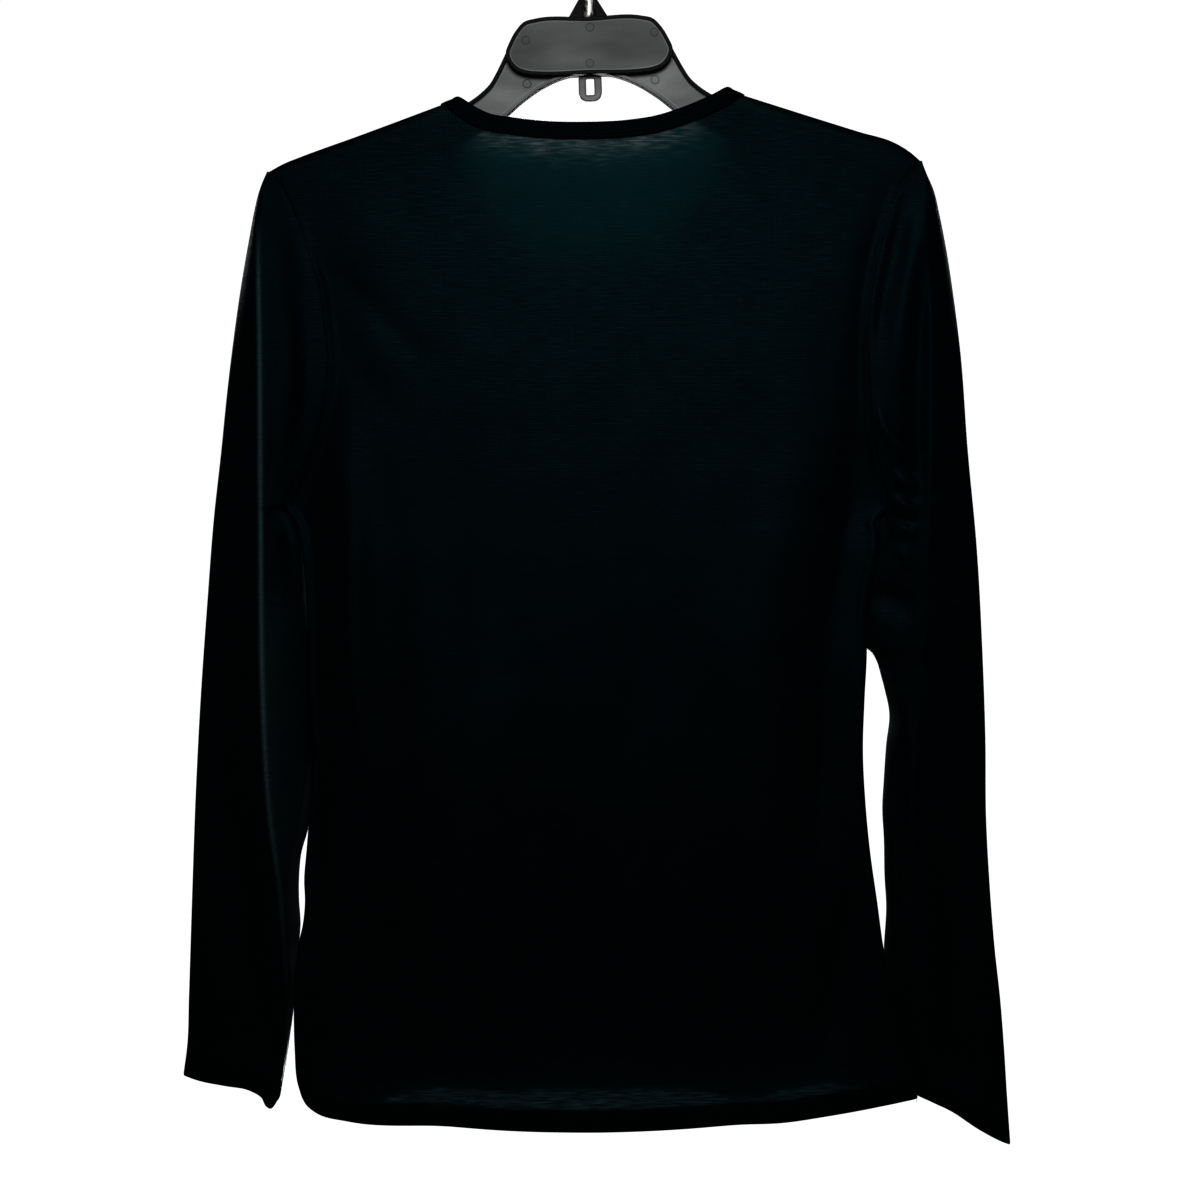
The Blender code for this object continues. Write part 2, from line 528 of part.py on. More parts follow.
def bend_to_cuff(ring, outer, inner, cuff, weight):
    """Moves a ring's points towards the cuff's curve, by more the nearer it is to the cuff."""
    bent = []
    for x, y, z in ring:
        share = (x - outer[0]) / (inner[0] - outer[0])
        straight = cuff[0] * (1 - share) + cuff[-1] * share
        shift = along(cuff, share) - straight
        bent.append((x + shift[0] * weight, y, z + shift[1] * weight))
    return bent


# --- Blender helpers --------------------------------------------------------------------------
def start_empty():
    for thing in list(bpy.data.objects):
        bpy.data.objects.remove(thing, do_unlink=True)


def collection(name):
    group = bpy.data.collections.new(name)
    bpy.context.scene.collection.children.link(group)
    return group


def material(name, finish):
    made = bpy.data.materials.new(name)
    made.use_nodes = True
    shader = made.node_tree.nodes["Principled BSDF"]
    shader.inputs["Base Color"].default_value = (*finish.colour, 1)
    shader.inputs["Roughness"].default_value = finish.roughness
    shader.inputs["Metallic"].default_value = finish.metallic
    return made


def add_object(name, data, group, finish):
    thing = bpy.data.objects.new(name, data)
    data.materials.append(material(name, finish))
    group.objects.link(thing)
    return thing


def mesh_from(bm, name):
    bmesh.ops.recalc_face_normals(bm, faces=bm.faces)
    mesh = bpy.data.meshes.new(name)
    bm.to_mesh(mesh)
    bm.free()
    mesh.shade_smooth()
    return mesh


def add_sheet(bm, grid):
    """A sheet of quads whose corners are the grid's (x, y, z) rows, in millimetres."""
    rows, columns = grid.shape[:2]
    made = bmesh.ops.create_grid(bm, x_segments=columns - 1, y_segments=rows - 1, size=1)["verts"]
    for vertex, place in zip(made, grid.reshape(-1, 3)):
        vertex.co = place * MM


def cloth(name, grids, group, finish):
    """A knitted wall on the sheets' points, joined where the sheets meet."""
    bm = bmesh.new()
    for grid in grids:
        add_sheet(bm, grid)
    bmesh.ops.remove_doubles(bm, verts=bm.verts, dist=0.01 * MM)
    thing = add_object(name, mesh_from(bm, name), group, finish)
    wall = thing.modifiers.new("wall", "SOLIDIFY")
    wall.thickness = CLOTH_WALL * MM
    wall.offset = 0
    return thing


def body_panel(name, flat_grids, group):
    """Gives the flat (x, z) grids of a panel their depth and builds the panel."""
    grids = []
    for flat in flat_grids:
        places = [(x, body_y(name, x, z), z) for x, z in flat.reshape(-1, 2)]
        grids.append(np.array(places).reshape(*flat.shape[:2], 3))
    return cloth(name, grids, group, JERSEY)


# --- Neck binding -----------------------------------------------------------------------------
def neck_edge(back_grids, front_grids):
    """The panels' neck edge as one closed loop of (x, y, z): along the back, then the front."""
    top = back_grids[0][0]
    back = top[(top[:, 0] > BACK_NECK[0].x - 0.1) & (top[:, 0] < BACK_NECK[-1].x + 0.1)]
    left_piece, right_piece, main_piece = front_grids
    foot = main_piece[0]
    foot = foot[(foot[:, 0] > FRONT_NECK_FOOT[0].x + 0.1) & (foot[:, 0] < FRONT_NECK_FOOT[-1].x - 0.1)]
    front = np.vstack([right_piece[1:, 0], foot[::-1], left_piece[:0:-1, -1]])
    loop = [(x, body_y("back_panel", x, z), z) for x, z in back]
    loop += [(x, body_y("front_panel", x, z), z) for x, z in front]
    return np.array(loop), np.arange(len(loop)) < len(back)


def level_directions(loop, above):
    """From each point of the neck edge, the way into the neck opening, seen flat from the back."""
    count = int(above.sum())
    flat = loop[:, (0, 2)]
    ways = np.zeros((len(loop), 3))
    runs = ((np.arange(count), 1), (np.append(np.arange(count - 1, len(loop)), 0), -1))
    for run, turn in runs:
        step = unit(np.gradient(flat[run], axis=0))
        square = np.stack([-step[:, 1], step[:, 0]], axis=1) * turn
        ways[run, 0] = square[:, 0]
        ways[run, 2] = square[:, 1]
    return ways


def circular_mean(values, passes):
    for _ in range(passes):
        values = (np.roll(values, 1, axis=0) + 2 * values + np.roll(values, -1, axis=0)) / 4
    return values


def binding_rings(loop, above):
    """Flat oblong sections that stand on the neck edge and point into the neck opening."""
    tangent = unit(np.roll(loop, -1, axis=0) - np.roll(loop, 1, axis=0))
    level = level_directions(loop, above)
    inward = unit(circular_mean(level, 3))
    through = unit(np.cross(tangent, inward))
    inward = np.cross(through, tangent)
    inward *= np.sign((inward * level).sum(axis=1))[:, None]
    spine = loop + inward * (BINDING_GAP + BINDING_WIDTH / 2)
    half_width, half_thick = BINDING_WIDTH / 2, BINDING_THICK / 2
    section = [(1, 0.45), (0.78, 1), (-0.78, 1), (-1, 0.45), (-1, -0.45), (-0.78, -1), (0.78, -1), (1, -0.45)]
    rings = [spine + inward * half_width * a + through * half_thick * b for a, b in section]
    return np.stack(rings + rings[:1], axis=1)


def neck_binding(back_grids, front_grids, group):
    rings = binding_rings(*neck_edge(back_grids, front_grids))
    closed = np.concatenate([rings, rings[:1]])
    bm = bmesh.new()
    add_sheet(bm, closed)
    bmesh.ops.remove_doubles(bm, verts=bm.verts, dist=0.01 * MM)
    return add_object("neck_binding", mesh_from(bm, "neck_binding"), group, JERSEY_BINDING)


# --- Hanger -----------------------------------------------------------------------------------
def both_halves(right_half):
    """A closed outline from its right half, which starts and ends on the middle line."""
    left_half = [Point(-row.x, row.z) for row in reversed(right_half) if row.x > 0]
    return list(right_half) + left_half


def prism(bm, outline, near, far):
    """A straight prism on an (x, z) outline, from y near to y far. Returns its two end faces."""
    ring = [bm.verts.new((row.x * MM, near * MM, row.z * MM)) for row in outline]
    face = bm.faces.new(ring)
    grown = bmesh.ops.extrude_face_region(bm, geom=[face], use_keep_orig=True)["geom"]
    moved = [item for item in grown if isinstance(item, bmesh.types.BMVert)]
    bmesh.ops.translate(bm, verts=moved, vec=(0, (far - near) * MM, 0))
    end = [item for item in grown if isinstance(item, bmesh.types.BMFace)][0]
    bmesh.ops.recalc_face_normals(bm, faces=bm.faces)
    return face, end


def recess(bm, faces, rim, depth, draft=0.3):
    """Sinks each face inside a rim, with a little draft on the rim's inner wall."""
    for face in faces:
        bmesh.ops.inset_individual(bm, faces=[face], thickness=rim * MM, use_even_offset=True)
        bmesh.ops.inset_individual(bm, faces=[face], thickness=draft * MM, depth=-depth * MM, use_even_offset=True)


def tilt():
    """The hanger hangs a little out of level about the middle of its plate."""
    pivot = Matrix.Translation((0, 0, TILT_CENTRE_Z * MM))
    return pivot @ Matrix.Rotation(math.radians(-HANGER_TILT), 4, "Y") @ pivot.inverted()


def hanger_piece(name, bm, group, finish=BLACK_STYRENE):
    bmesh.ops.transform(bm, matrix=tilt(), verts=bm.verts)
    mesh = mesh_from(bm, name)
    mesh.set_sharp_from_angle(angle=math.radians(30))
    return add_object(name, mesh, group, finish)


def hanger_frame(group):
    bm = bmesh.new()
    top = [Point(*row) for row in smooth_curve(FRAME_TOP[1:], 2)]
    under = [Point(*row) for row in smooth_curve(FRAME_UNDER, 2)]
    outline = both_halves([FRAME_TOP[0]] + top + FRAME_TIP + under)
    faces = prism(bm, outline, -ARM_DEPTH / 2, ARM_DEPTH / 2)
    recess(bm, faces, RIM_WIDTH, WEB_RECESS)
    return hanger_piece("hanger_frame", bm, group)


def hanger_plate(name, near, far, group):
    """A raised pad on one face of the hanger. Its outer face, at y far, is sunk inside a rim."""
    bm = bmesh.new()
    outline = both_halves([Point(*row) for row in smooth_curve(PLATE_OUTLINE, 2)])
    outer_face = prism(bm, outline, near, far)[1]
    recess(bm, [outer_face], PLATE_RIM, PLATE_RECESS)
    return hanger_piece(name, bm, group)


def cut(target, cutter, cutters):
    """Takes the cutter's solid out of the target."""
    cutters.objects.link(cutter)
    cutter.hide_render = True
    cutter.display_type = "WIRE"
    tool = target.modifiers.new("cut", "BOOLEAN")
    tool.operation = "DIFFERENCE"
    tool.solver = "EXACT"
    tool.object = cutter


def hanger_tab(group, cutters):
    """The slotted loop that hangs from the arch."""
    bm = bmesh.new()
    prism(bm, both_halves(TAB_OUTLINE), -TAB_THICK / 2, TAB_THICK / 2)
    tab = hanger_piece("hanger_tab", bm, group)
    bm = bmesh.new()
    prism(bm, both_halves(TAB_SLOT), -TAB_THICK, TAB_THICK)
    bmesh.ops.transform(bm, matrix=tilt(), verts=bm.verts)
    cut(tab, bpy.data.objects.new("slot_cutter", mesh_from(bm, "slot_cutter")), cutters)
    return tab


def hanger_socket(group, cutters):
    """The triangular boss that the hook's foot stands in, with its near side open."""
    groove = SHANK_DIAMETER / 2 + SEAM_GAP
    bm = bmesh.new()
    prism(bm, both_halves(SOCKET_OUTLINE), -ARM_DEPTH / 2 + 1.5, ARM_DEPTH / 2)
    socket = hanger_piece("hanger_socket", bm, group)
    bm = bmesh.new()
    bmesh.ops.create_cube(bm, size=1)
    height = 40
    bmesh.ops.scale(bm, verts=bm.verts, vec=(2 * groove * MM, 4 * groove * MM, height * MM))
    bmesh.ops.translate(bm, verts=bm.verts, vec=(0, -groove * MM, -60 * MM))
    cut(socket, bpy.data.objects.new("groove_cutter", mesh_from(bm, "groove_cutter")), cutters)
    return socket


def hanger_hook(group):
    """One bent wire: a thick foot, an offset bend, and the arc that hangs on the rail."""
    centre_z = HOOK_WIRE / 2 - HOOK_BEND
    route = list(HOOK_FOOT)
    for angle in np.radians(np.linspace(*HOOK_ARC, HOOK_ARC_STEPS)):
        x, z = HOOK_BEND * math.cos(angle), centre_z + HOOK_BEND * math.sin(angle)
        route.append(HookStep(x, z, HOOK_WIRE))
    curve = bpy.data.curves.new("hanger_hook", "CURVE")
    curve.dimensions = "3D"
    curve.bevel_depth = HOOK_WIRE / 2 * MM
    curve.bevel_resolution = 2
    curve.use_fill_caps = True
    line = curve.splines.new("POLY")
    line.points.add(len(route) - 1)
    for point, step in zip(line.points, route):
        point.co = (step.x * MM, 0, step.z * MM, 1)
        point.radius = step.width / HOOK_WIRE
    return add_object("hanger_hook", curve, group, PLATED_STEEL)


def build():
    start_empty()
    group = collection("base_layer_top_on_hanger")
    cutters = collection("cutters")
    back_grids, front_grids = back_panel_grid(), front_panel_grids()
    body_panel("back_panel", back_grids, group)
    body_panel("front_panel", front_grids, group)
    left = sleeve_grid("left", LEFT_OUTER, LEFT_INNER, LEFT_CUFF)
    right = sleeve_grid("right", RIGHT_OUTER, RIGHT_INNER, RIGHT_CUFF)
    cloth("sleeve_left", [left], group, JERSEY)
    cloth("sleeve_right", [right], group, JERSEY)
    neck_binding(back_grids, front_grids, group)
    hanger_frame(group)
    face = ARM_DEPTH / 2 + SEAM_GAP
    hanger_plate("hanger_plate_back", -face, -face - PLATE_THICK, group)
    hanger_plate("hanger_plate_front", face, face + PLATE_THICK, group)
    hanger_tab(group, cutters)
    hanger_socket(group, cutters)
    hanger_hook(group)


build()
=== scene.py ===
# %% [markdown]
# # A black base layer top on a moulded hanger
# The part is a thin long-sleeved jersey top that hangs from a plastic shop hanger. We see its
# back. Its solids are already packed as a frame, and every piece made here stands where its
# solid stands. Cloth is made as thin shells on smooth sections, because a knitted top on a
# hanger is nearly flat and its shape is a matter of outlines, depths and a few good folds.

# %% Load the frame
import math
from collections import namedtuple
from functools import partial

import bmesh
import bpy
import numpy as np
from mathutils import Matrix, Vector, noise
from mathutils.bvhtree import BVHTree


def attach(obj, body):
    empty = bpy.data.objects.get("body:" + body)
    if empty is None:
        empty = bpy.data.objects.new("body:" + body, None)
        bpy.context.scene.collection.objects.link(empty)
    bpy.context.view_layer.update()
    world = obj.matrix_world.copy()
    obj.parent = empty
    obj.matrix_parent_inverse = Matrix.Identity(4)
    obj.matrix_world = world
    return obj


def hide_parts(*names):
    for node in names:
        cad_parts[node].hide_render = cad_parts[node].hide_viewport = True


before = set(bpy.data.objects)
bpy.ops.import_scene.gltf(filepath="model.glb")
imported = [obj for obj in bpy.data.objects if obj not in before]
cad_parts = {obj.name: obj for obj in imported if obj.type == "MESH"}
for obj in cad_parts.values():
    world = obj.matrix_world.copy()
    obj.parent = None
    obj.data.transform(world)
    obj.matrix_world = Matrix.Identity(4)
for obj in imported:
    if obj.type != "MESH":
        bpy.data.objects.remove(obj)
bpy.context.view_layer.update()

MM = 0.001

# %% [markdown]
# ## Curves
# A pattern cutter draws an outline through a few measured points. The same is done here: each
# table holds points in millimetres, and one function draws a smooth line through them. Tables
# run in x (to the viewer's right) and z (up), seen from the garment's back.

# %% Smooth lines through measured points
Point = namedtuple("Point", "x z")


def points(*rows):
    return [Point(*row) for row in rows]


def smooth_curve(rows, steps=14):
    """Dense points of a smooth curve through the rows of a table."""
    knots = np.array(rows, dtype=float)
    chord = np.concatenate([[0.0], np.cumsum(np.linalg.norm(np.diff(knots, axis=0), axis=1))])
    slope = np.gradient(knots, chord, axis=0)
    t = np.linspace(0, 1, steps, endpoint=False)[:, None]
    dense = []
    for i in range(len(knots) - 1):
        span = chord[i + 1] - chord[i]
        start = (1 + 2 * t) * (1 - t) ** 2 * knots[i] + t * (1 - t) ** 2 * span * slope[i]
        end = t * t * (3 - 2 * t) * knots[i + 1] + t * t * (t - 1) * span * slope[i + 1]
        dense.append(start + end)
    return np.vstack(dense + [knots[-1:]])


def lengths(curve):
    """How far along the curve each of its points lies."""
    return np.concatenate([[0.0], np.cumsum(np.linalg.norm(np.diff(curve, axis=0), axis=1))])


def along(curve, fraction):
    """The curve's points at fractions of its length."""
    length = lengths(curve)
    wanted = np.asarray(fraction) * length[-1]
    return np.stack([np.interp(wanted, length, column) for column in curve.T], axis=-1)


def unit(vectors):
    return vectors / np.maximum(np.linalg.norm(vectors, axis=-1, keepdims=True), 1e-9)


def smoothstep(t):
    t = np.clip(t, 0, 1)
    return t * t * (3 - 2 * t)


def quarter_round(distance, radius):
    """0 at an edge, rising like a quarter circle to 1 at the radius."""
    return np.sqrt(np.maximum(0, 1 - (1 - np.clip(distance / radius, 0, 1)) ** 2))


def steps(count, first=1.0, last=1.0, ease=0.12):
    """Fractions from 0 to 1. The gaps are smaller near the ends, by the factors first and last."""
    t = (np.arange(count) + 0.5) / count
    gap = first + (1 - first) * np.clip(t / ease, 0, 1)
    gap *= last + (1 - last) * np.clip((1 - t) / ease, 0, 1)
    return np.concatenate([[0], np.cumsum(gap) / gap.sum()])


print("eight steps, finer at the start:", steps(8, first=0.3).round(2))

# %% [markdown]
# ## The cut of the body
# Back and front are one panel each. Their outlines are the shoulder line, the neck, the armhole
# curve and the side, and the hem. The front's neck is deeper, its armholes are cut further in,
# and its hem hangs higher, as it does on the real top.

# %% Outlines of the body panels
LEFT_ARMHOLE = points(
    (-205, -164), (-199, -170), (-190, -186.5), (-182.5, -205), (-176.5, -223), (-172, -238),
    (-169, -258.5), (-166.5, -277.5), (-167, -298), (-170, -319), (-174.5, -335), (-181, -350),
    (-187.5, -361.5), (-192.5, -370.5), (-196, -378),
)
RIGHT_ARMHOLE = points(
    (212, -157), (205, -163.5), (199.5, -171), (195, -181), (191.5, -192.5), (187, -209.5),
    (183, -226.5), (180, -245.5), (178.5, -268), (178.5, -290.5), (179, -309.5), (180.5, -328.5),
    (183.5, -343), (187.5, -359.5), (191.5, -376),
)
LEFT_SIDE = points(
    (-196, -378), (-191.5, -382.5), (-187.5, -387.5), (-185, -394.5), (-183, -405.5),
    (-181, -424.5), (-179, -463), (-178, -501.5), (-176.5, -527), (-177.5, -565.5),
    (-180, -597.5), (-181.5, -616.5), (-181, -629.5), (-182.5, -645.5), (-185.5, -658.5),
    (-187, -671), (-188, -693.5), (-187.5, -725.5), (-186, -744.5), (-183, -755),
)
RIGHT_SIDE = points(
    (191.5, -376), (190, -380.5), (185, -384), (183, -389), (184.5, -396), (184, -404),
    (182, -415), (178.5, -431), (176.5, -447), (177, -469.5), (175.5, -501.5), (174.5, -533.5),
    (176, -565.5), (179, -597.5), (183.5, -629.5), (188, -661.5), (191.5, -679), (199, -719),
    (205.5, -741.5), (209.5, -755),
)
LEFT_SHOULDER = points(
    (-205, -164), (-195, -158.5), (-185, -154.5), (-146.5, -140.5), (-93, -120.5),
)
RIGHT_SHOULDER = points(
    (97.5, -114.5), (148, -130.5), (172, -138), (196, -145.5), (205, -151), (212, -157),
)
BACK_NECK = points(
    (-93, -120.5), (-85, -126), (-77.5, -131), (-67, -136), (-50.5, -139), (-28, -141.5),
    (0.5, -142), (27, -140.5), (45.5, -137.5), (61.5, -132.5), (74, -127.5), (86.5, -121.5),
    (93, -117.5), (97.5, -114.5),
)
FRONT_NECK_LEFT = points(
    (-93, -120.5), (-93, -131.5), (-92, -143), (-87, -162.5), (-78.5, -183.5), (-66.5, -204),
)
FRONT_NECK_FOOT = points(
    (-66.5, -204), (-48.5, -221), (-27, -230), (0.5, -232.5), (29.5, -227.5), (51, -218),
    (71.5, -200),
)
FRONT_NECK_RIGHT = points((71.5, -200), (84, -181.5), (92, -161), (97, -136.5), (97.5, -114.5))
BACK_HEM = points(
    (-183, -755), (-178.5, -760.5), (-173.5, -764), (-153, -769), (-89, -771.5), (-57, -774),
    (7, -775.5), (39, -774.5), (71, -772.5), (96, -770.5), (122, -769.5), (154, -765),
    (186, -759.5), (209.5, -755),
)
FRONT_HEM = points(
    (-183, -753.5), (-166, -759.5), (-143.5, -757.5), (-121, -751), (-102, -746.5), (-57, -748.5),
    (7, -747), (71, -748.5), (100, -753.5), (128.5, -747), (148, -744), (173.5, -746.5),
    (192.5, -751), (209.5, -753.5),
)
print("shoulders, mm wide:", RIGHT_SHOULDER[-1].x - LEFT_SHOULDER[0].x)
print("hem, mm wide:", BACK_HEM[-1].x - BACK_HEM[0].x)

# %% [markdown]
# ## The panels' edges
# A maker compares the lengths of two edges before sewing them together, so the edges are drawn
# as dense curves that can be measured. The front armhole is the back one scooped out a little
# more, which a sine over the curve's length does without a second table of points.

# %% The panels' edges as dense curves
FRONT_ARMHOLE_SCOOP = 9.0   # the front armhole is cut this much deeper than the back one


def inward_scoop(armhole, towards):
    share = np.linspace(0, 1, len(armhole))
    shift = FRONT_ARMHOLE_SCOOP * np.sin(math.pi * share) ** 1.5
    return [Point(row.x + towards * d, row.z) for row, d in zip(armhole, shift)]


ARMHOLES = {
    ("back_panel", "left"): smooth_curve(LEFT_ARMHOLE),
    ("back_panel", "right"): smooth_curve(RIGHT_ARMHOLE),
    ("front_panel", "left"): smooth_curve(inward_scoop(LEFT_ARMHOLE, 1)),
    ("front_panel", "right"): smooth_curve(inward_scoop(RIGHT_ARMHOLE, -1)),
}
SIDES = {"left": smooth_curve(LEFT_SIDE), "right": smooth_curve(RIGHT_SIDE)}
SHOULDERS = np.vstack([smooth_curve(LEFT_SHOULDER), smooth_curve(RIGHT_SHOULDER)])
NECK_PARTS = (FRONT_NECK_LEFT, FRONT_NECK_FOOT, FRONT_NECK_RIGHT)
FRONT_NECK = np.vstack([smooth_curve(part) for part in NECK_PARTS])
UNDERARM = {"left": LEFT_SIDE[0], "right": RIGHT_SIDE[0]}
BOTH_SIDES = ("left", "right")
FACES = ("back", "front")
OUTWARDS = {"left": -1, "right": 1}
for (panel, side), curve in ARMHOLES.items():
    print(f"{panel} {side} armhole: {lengths(curve)[-1]:.0f} mm long")

# %% [markdown]
# ## Folds
# Each fold is a soft ridge or trough with a height, a half width and the line that it follows.
# The tops of folds are written from what hangs there: drag lines that fall from the
# armholes, a deep valley beside each sleeve's seam, and the crumpled cloth at the right armpit.
# A simulation would give other folds than these, so they are listed one by one, and each fades
# out towards its ends.

# %% Folds of the body
Fold = namedtuple("Fold", "height width path")


def folds(*rows):
    """Folds, each written as its height, its half width and the points of its line."""
    return [Fold(height, width, points(*path)) for height, width, *path in rows]


BODY_FOLDS = {
    "back_panel": folds(
        (-4.5, 11, (-172, -262), (-175, -300), (-179, -341.5), (-183, -386.5), (-182, -437.5),
         (-179, -510), (-176, -600), (-178, -690)),
        (6, 12, (-160, -268), (-156, -298), (-154, -339), (-152, -373), (-150, -440), (-147, -510),
         (-141, -590)),
        (1.6, 5, (-160.5, -508), (-163, -580), (-167, -661.5)),
        (-3.6, 24, (-186, -176), (-176, -215), (-168, -262), (-164, -320), (-168, -390)),
        (-1.1, 9, (-174, -216), (-158, -233), (-141, -248.5), (-110, -279), (-92, -298)),
        (-0.8, 9, (-158, -276), (-146, -292), (-130, -312), (-108, -340)),
        (-4, 11, (206, -158), (196, -184), (187, -214), (181, -250), (177, -290), (174, -335)),
        (-6.6, 14, (183, -245), (180, -290), (175, -335), (169, -375), (162, -420), (155, -458),
         (150, -510), (147, -590), (151, -680)),
        (4, 22, (150, -262), (134, -325), (121, -400), (112, -456), (107, -540), (104, -640),
         (108, -740)),
        (-5, 11, (178, -590), (160.5, -661.5), (144.5, -732), (132, -751)),
        (7, 36, (-58, -430), (-72, -540), (-80, -650), (-78, -800)),
        (-2.5, 22, (-132, -540), (-138, -640), (-136, -760)),
        (3, 30, (36, -470), (44, -620), (48, -790)),
        (-2, 16, (-20, -560), (-14, -680), (-18, -790)),
        (-1.8, 14, (78, -600), (84, -700), (80, -790)),
        (1.1, 12, (-100, -380), (-108, -480), (-104, -600)),
        (-1, 14, (-70, -290), (-86, -400), (-84, -540)),
        (1, 14, (96, -320), (88, -430), (92, -560)),
        (-0.9, 10, (-86, -136), (-104, -168), (-134, -205)),
        (-0.9, 10, (92, -132), (112, -166), (142, -202)),
        (-1.4, 5, (-176, -300), (-178, -330), (-184, -352)),
    ),
    "front_panel": folds(
        (-5, 10, (-157, -285), (-150, -345), (-140, -420), (-136, -520), (-142, -640)),
        (3, 12, (-128, -310), (-116, -420), (-118, -600)),
        (-1.6, 5, (-158, -230), (-142, -246), (-124, -258)),
        (-4.5, 11, (168, -290), (156, -350), (146, -430), (143, -540), (150, -650)),
        (3, 9, (170, -330), (168, -400), (160, -480), (164, -590)),
        (-3.5, 9, (168, -600), (158, -670), (150, -735)),
        (2.5, 20, (20, -520), (8, -640), (12, -742)),
        (-2.5, 16, (-62, -560), (-70, -660), (-66, -740)),
        (-2, 14, (84, -560), (92, -660), (100, -748)),
        (1.4, 9, (-84, -214), (-104, -240), (-130, -262)),
        (1.4, 9, (92, -212), (112, -238), (134, -262)),
        (-1.2, 8, (-40, -240), (-52, -300), (-50, -380)),
        (-1.2, 8, (46, -238), (58, -300), (54, -390)),
        (1.6, 6, (-166, -400), (-160, -470), (-164, -560)),
    ),
}

print("folds:", {panel: len(rows) for panel, rows in BODY_FOLDS.items()})


# %% Height of the folds
FADE_SHARE = 0.35           # a fold fades out over this share of its length at each end
FOLD_REACH = 3              # and is nothing beyond this many half widths


def near_fold(fold, x, z):
    """For each point its distance from the fold's line, and how far along the line it is."""
    line = smooth_curve(fold.path, 6)
    here = np.stack([x, z], axis=-1)
    gap, share = np.full(x.shape, 1e9), np.zeros(x.shape)
    length = lengths(line)
    for i in range(len(line) - 1):
        step = line[i + 1] - line[i]
        t = np.clip(((here - line[i]) @ step) / (step @ step), 0, 1)
        d = np.linalg.norm(here - line[i] - t[..., None] * step, axis=-1)
        closer = d < gap
        gap = np.where(closer, d, gap)
        share = np.where(closer, (length[i] + t * (length[i + 1] - length[i])) / length[-1], share)
    return gap, share


def fold_height(table, x, z, sharpness=2.0):
    """How far a table's folds lift the cloth outwards, at arrays of points."""
    height = np.zeros(x.shape)
    for fold in table:
        path = np.array(fold.path)
        reach = FOLD_REACH * fold.width
        close = (x > path[:, 0].min() - reach) & (x < path[:, 0].max() + reach)
        close &= (z > path[:, 1].min() - reach) & (z < path[:, 1].max() + reach)
        if close.any():
            gap, share = near_fold(fold, x[close], z[close])
            fade = smoothstep(share / FADE_SHARE) * smoothstep((1 - share) / FADE_SHARE)
            height[close] += fold.height * fade * np.exp(-((gap / fold.width) ** sharpness))
    return height


def wander(x, z, seed, size=0.55):
    """Slight unevenness of hung cloth, longer down the cloth than across it."""
    flat = np.stack([x.ravel(), z.ravel()], axis=1)
    wide = [noise.noise((px / 30, pz / 95, seed)) for px, pz in flat]
    small = [noise.noise((px / 9, pz / 16, seed + 7)) for px, pz in flat]
    return (size * np.array(wide) + 0.2 * size * np.array(small)).reshape(x.shape)


valley = fold_height(BODY_FOLDS["back_panel"], np.array([169.0]), np.array([-375.0]))[0]
print(f"the valley beside the right sleeve is {-valley:.1f} mm deep")

# %% [markdown]
# ## The body's form
# Hung on a hanger, a top is a flat sack: the cloth bends over the hanger's arms at the shoulders,
# folds flat down each side, and swells a little in between. One function gives the cloth's place
# from front to back at any point of a panel, so panels, seams and stitches all agree.

# %% Depth of the body
CLOTH_WALL = 0.7            # knitted jersey, millimetres
SHOULDER_ROUND = 6.5        # half thickness of the cloth where it bends over the hanger's arm
SIDE_FOLD = 3.4             # half thickness of the flat fold down each side of the body
SIDE_FORWARD = -6.0         # the body's sides lie this far in front of the sleeves' mid plane
FORWARD_DROP = 40.0         # they get there over this drop below the underarm
SWELL_POWER = 4.0           # how flat the body is across its middle
SEAM_PIN = 6.0              # folds fade out over this distance from a seam
SEAM_DIP = 0.45             # a sewn seam pulls the cloth in by this much
SEAM_LAP = 0.3              # at the side seam each panel goes this far past the other
SEAM_DIP_WIDTH = 1.6
AT_THE_EDGE = 0.02          # nearer than this to an edge, a point counts as on it
SPAN_BLUR = 16
BodyDepth = namedtuple("BodyDepth", "z edge back front")
BODY_DEPTHS = [BodyDepth(*row) for row in (
    (-115, 7, 7.2, 7.2),
    (-165, 7.5, 7.8, 8.5),
    (-225, 9.5, 10.5, 12.5),
    (-300, 9.5, 13, 16),
    (-345, 7, 14, 17),
    (-378, 3.4, 14.5, 17.5),
    (-500, 3.4, 13.5, 16),
    (-650, 3.4, 14.5, 17),
    (-780, 3.6, 17, 19),
)]
print("deepest middle, mm:", max(row.back + row.front for row in BODY_DEPTHS))


# %% The body's place from front to back
def read_depth(table, name, z):
    """A column of a depth table at height z, drawn as a smooth line. The tables run downwards."""
    line = smooth_curve([(-row.z, getattr(row, name)) for row in table], 8)
    return np.interp(-np.asarray(z), line[:, 0], line[:, 1])


def edge_x(panel, side, z):
    """Where the panel ends sideways: at its armhole, and lower down at its side seam."""
    armhole, seam = ARMHOLES[panel, side], SIDES[side]
    high = np.interp(-z, -armhole[:, 1], armhole[:, 0])
    low = np.interp(-z, -seam[:, 1], seam[:, 0])
    return np.where(z > UNDERARM[side].z, high, low)


def body_span(panel, side):
    """The panel's edge as a calm line: the corner at the underarm doesn't bend the whole body."""
    z = np.arange(-95.0, -815.0, -1.0)
    reach = 3 * SPAN_BLUR
    window = np.exp(-((np.arange(-reach, reach + 1) / SPAN_BLUR) ** 2))
    edge = np.pad(edge_x(panel, side, z), reach, mode="edge")
    return np.stack([-z, np.convolve(edge, window / window.sum(), mode="valid")], axis=1)


SPANS = {key: body_span(*key) for key in ARMHOLES}


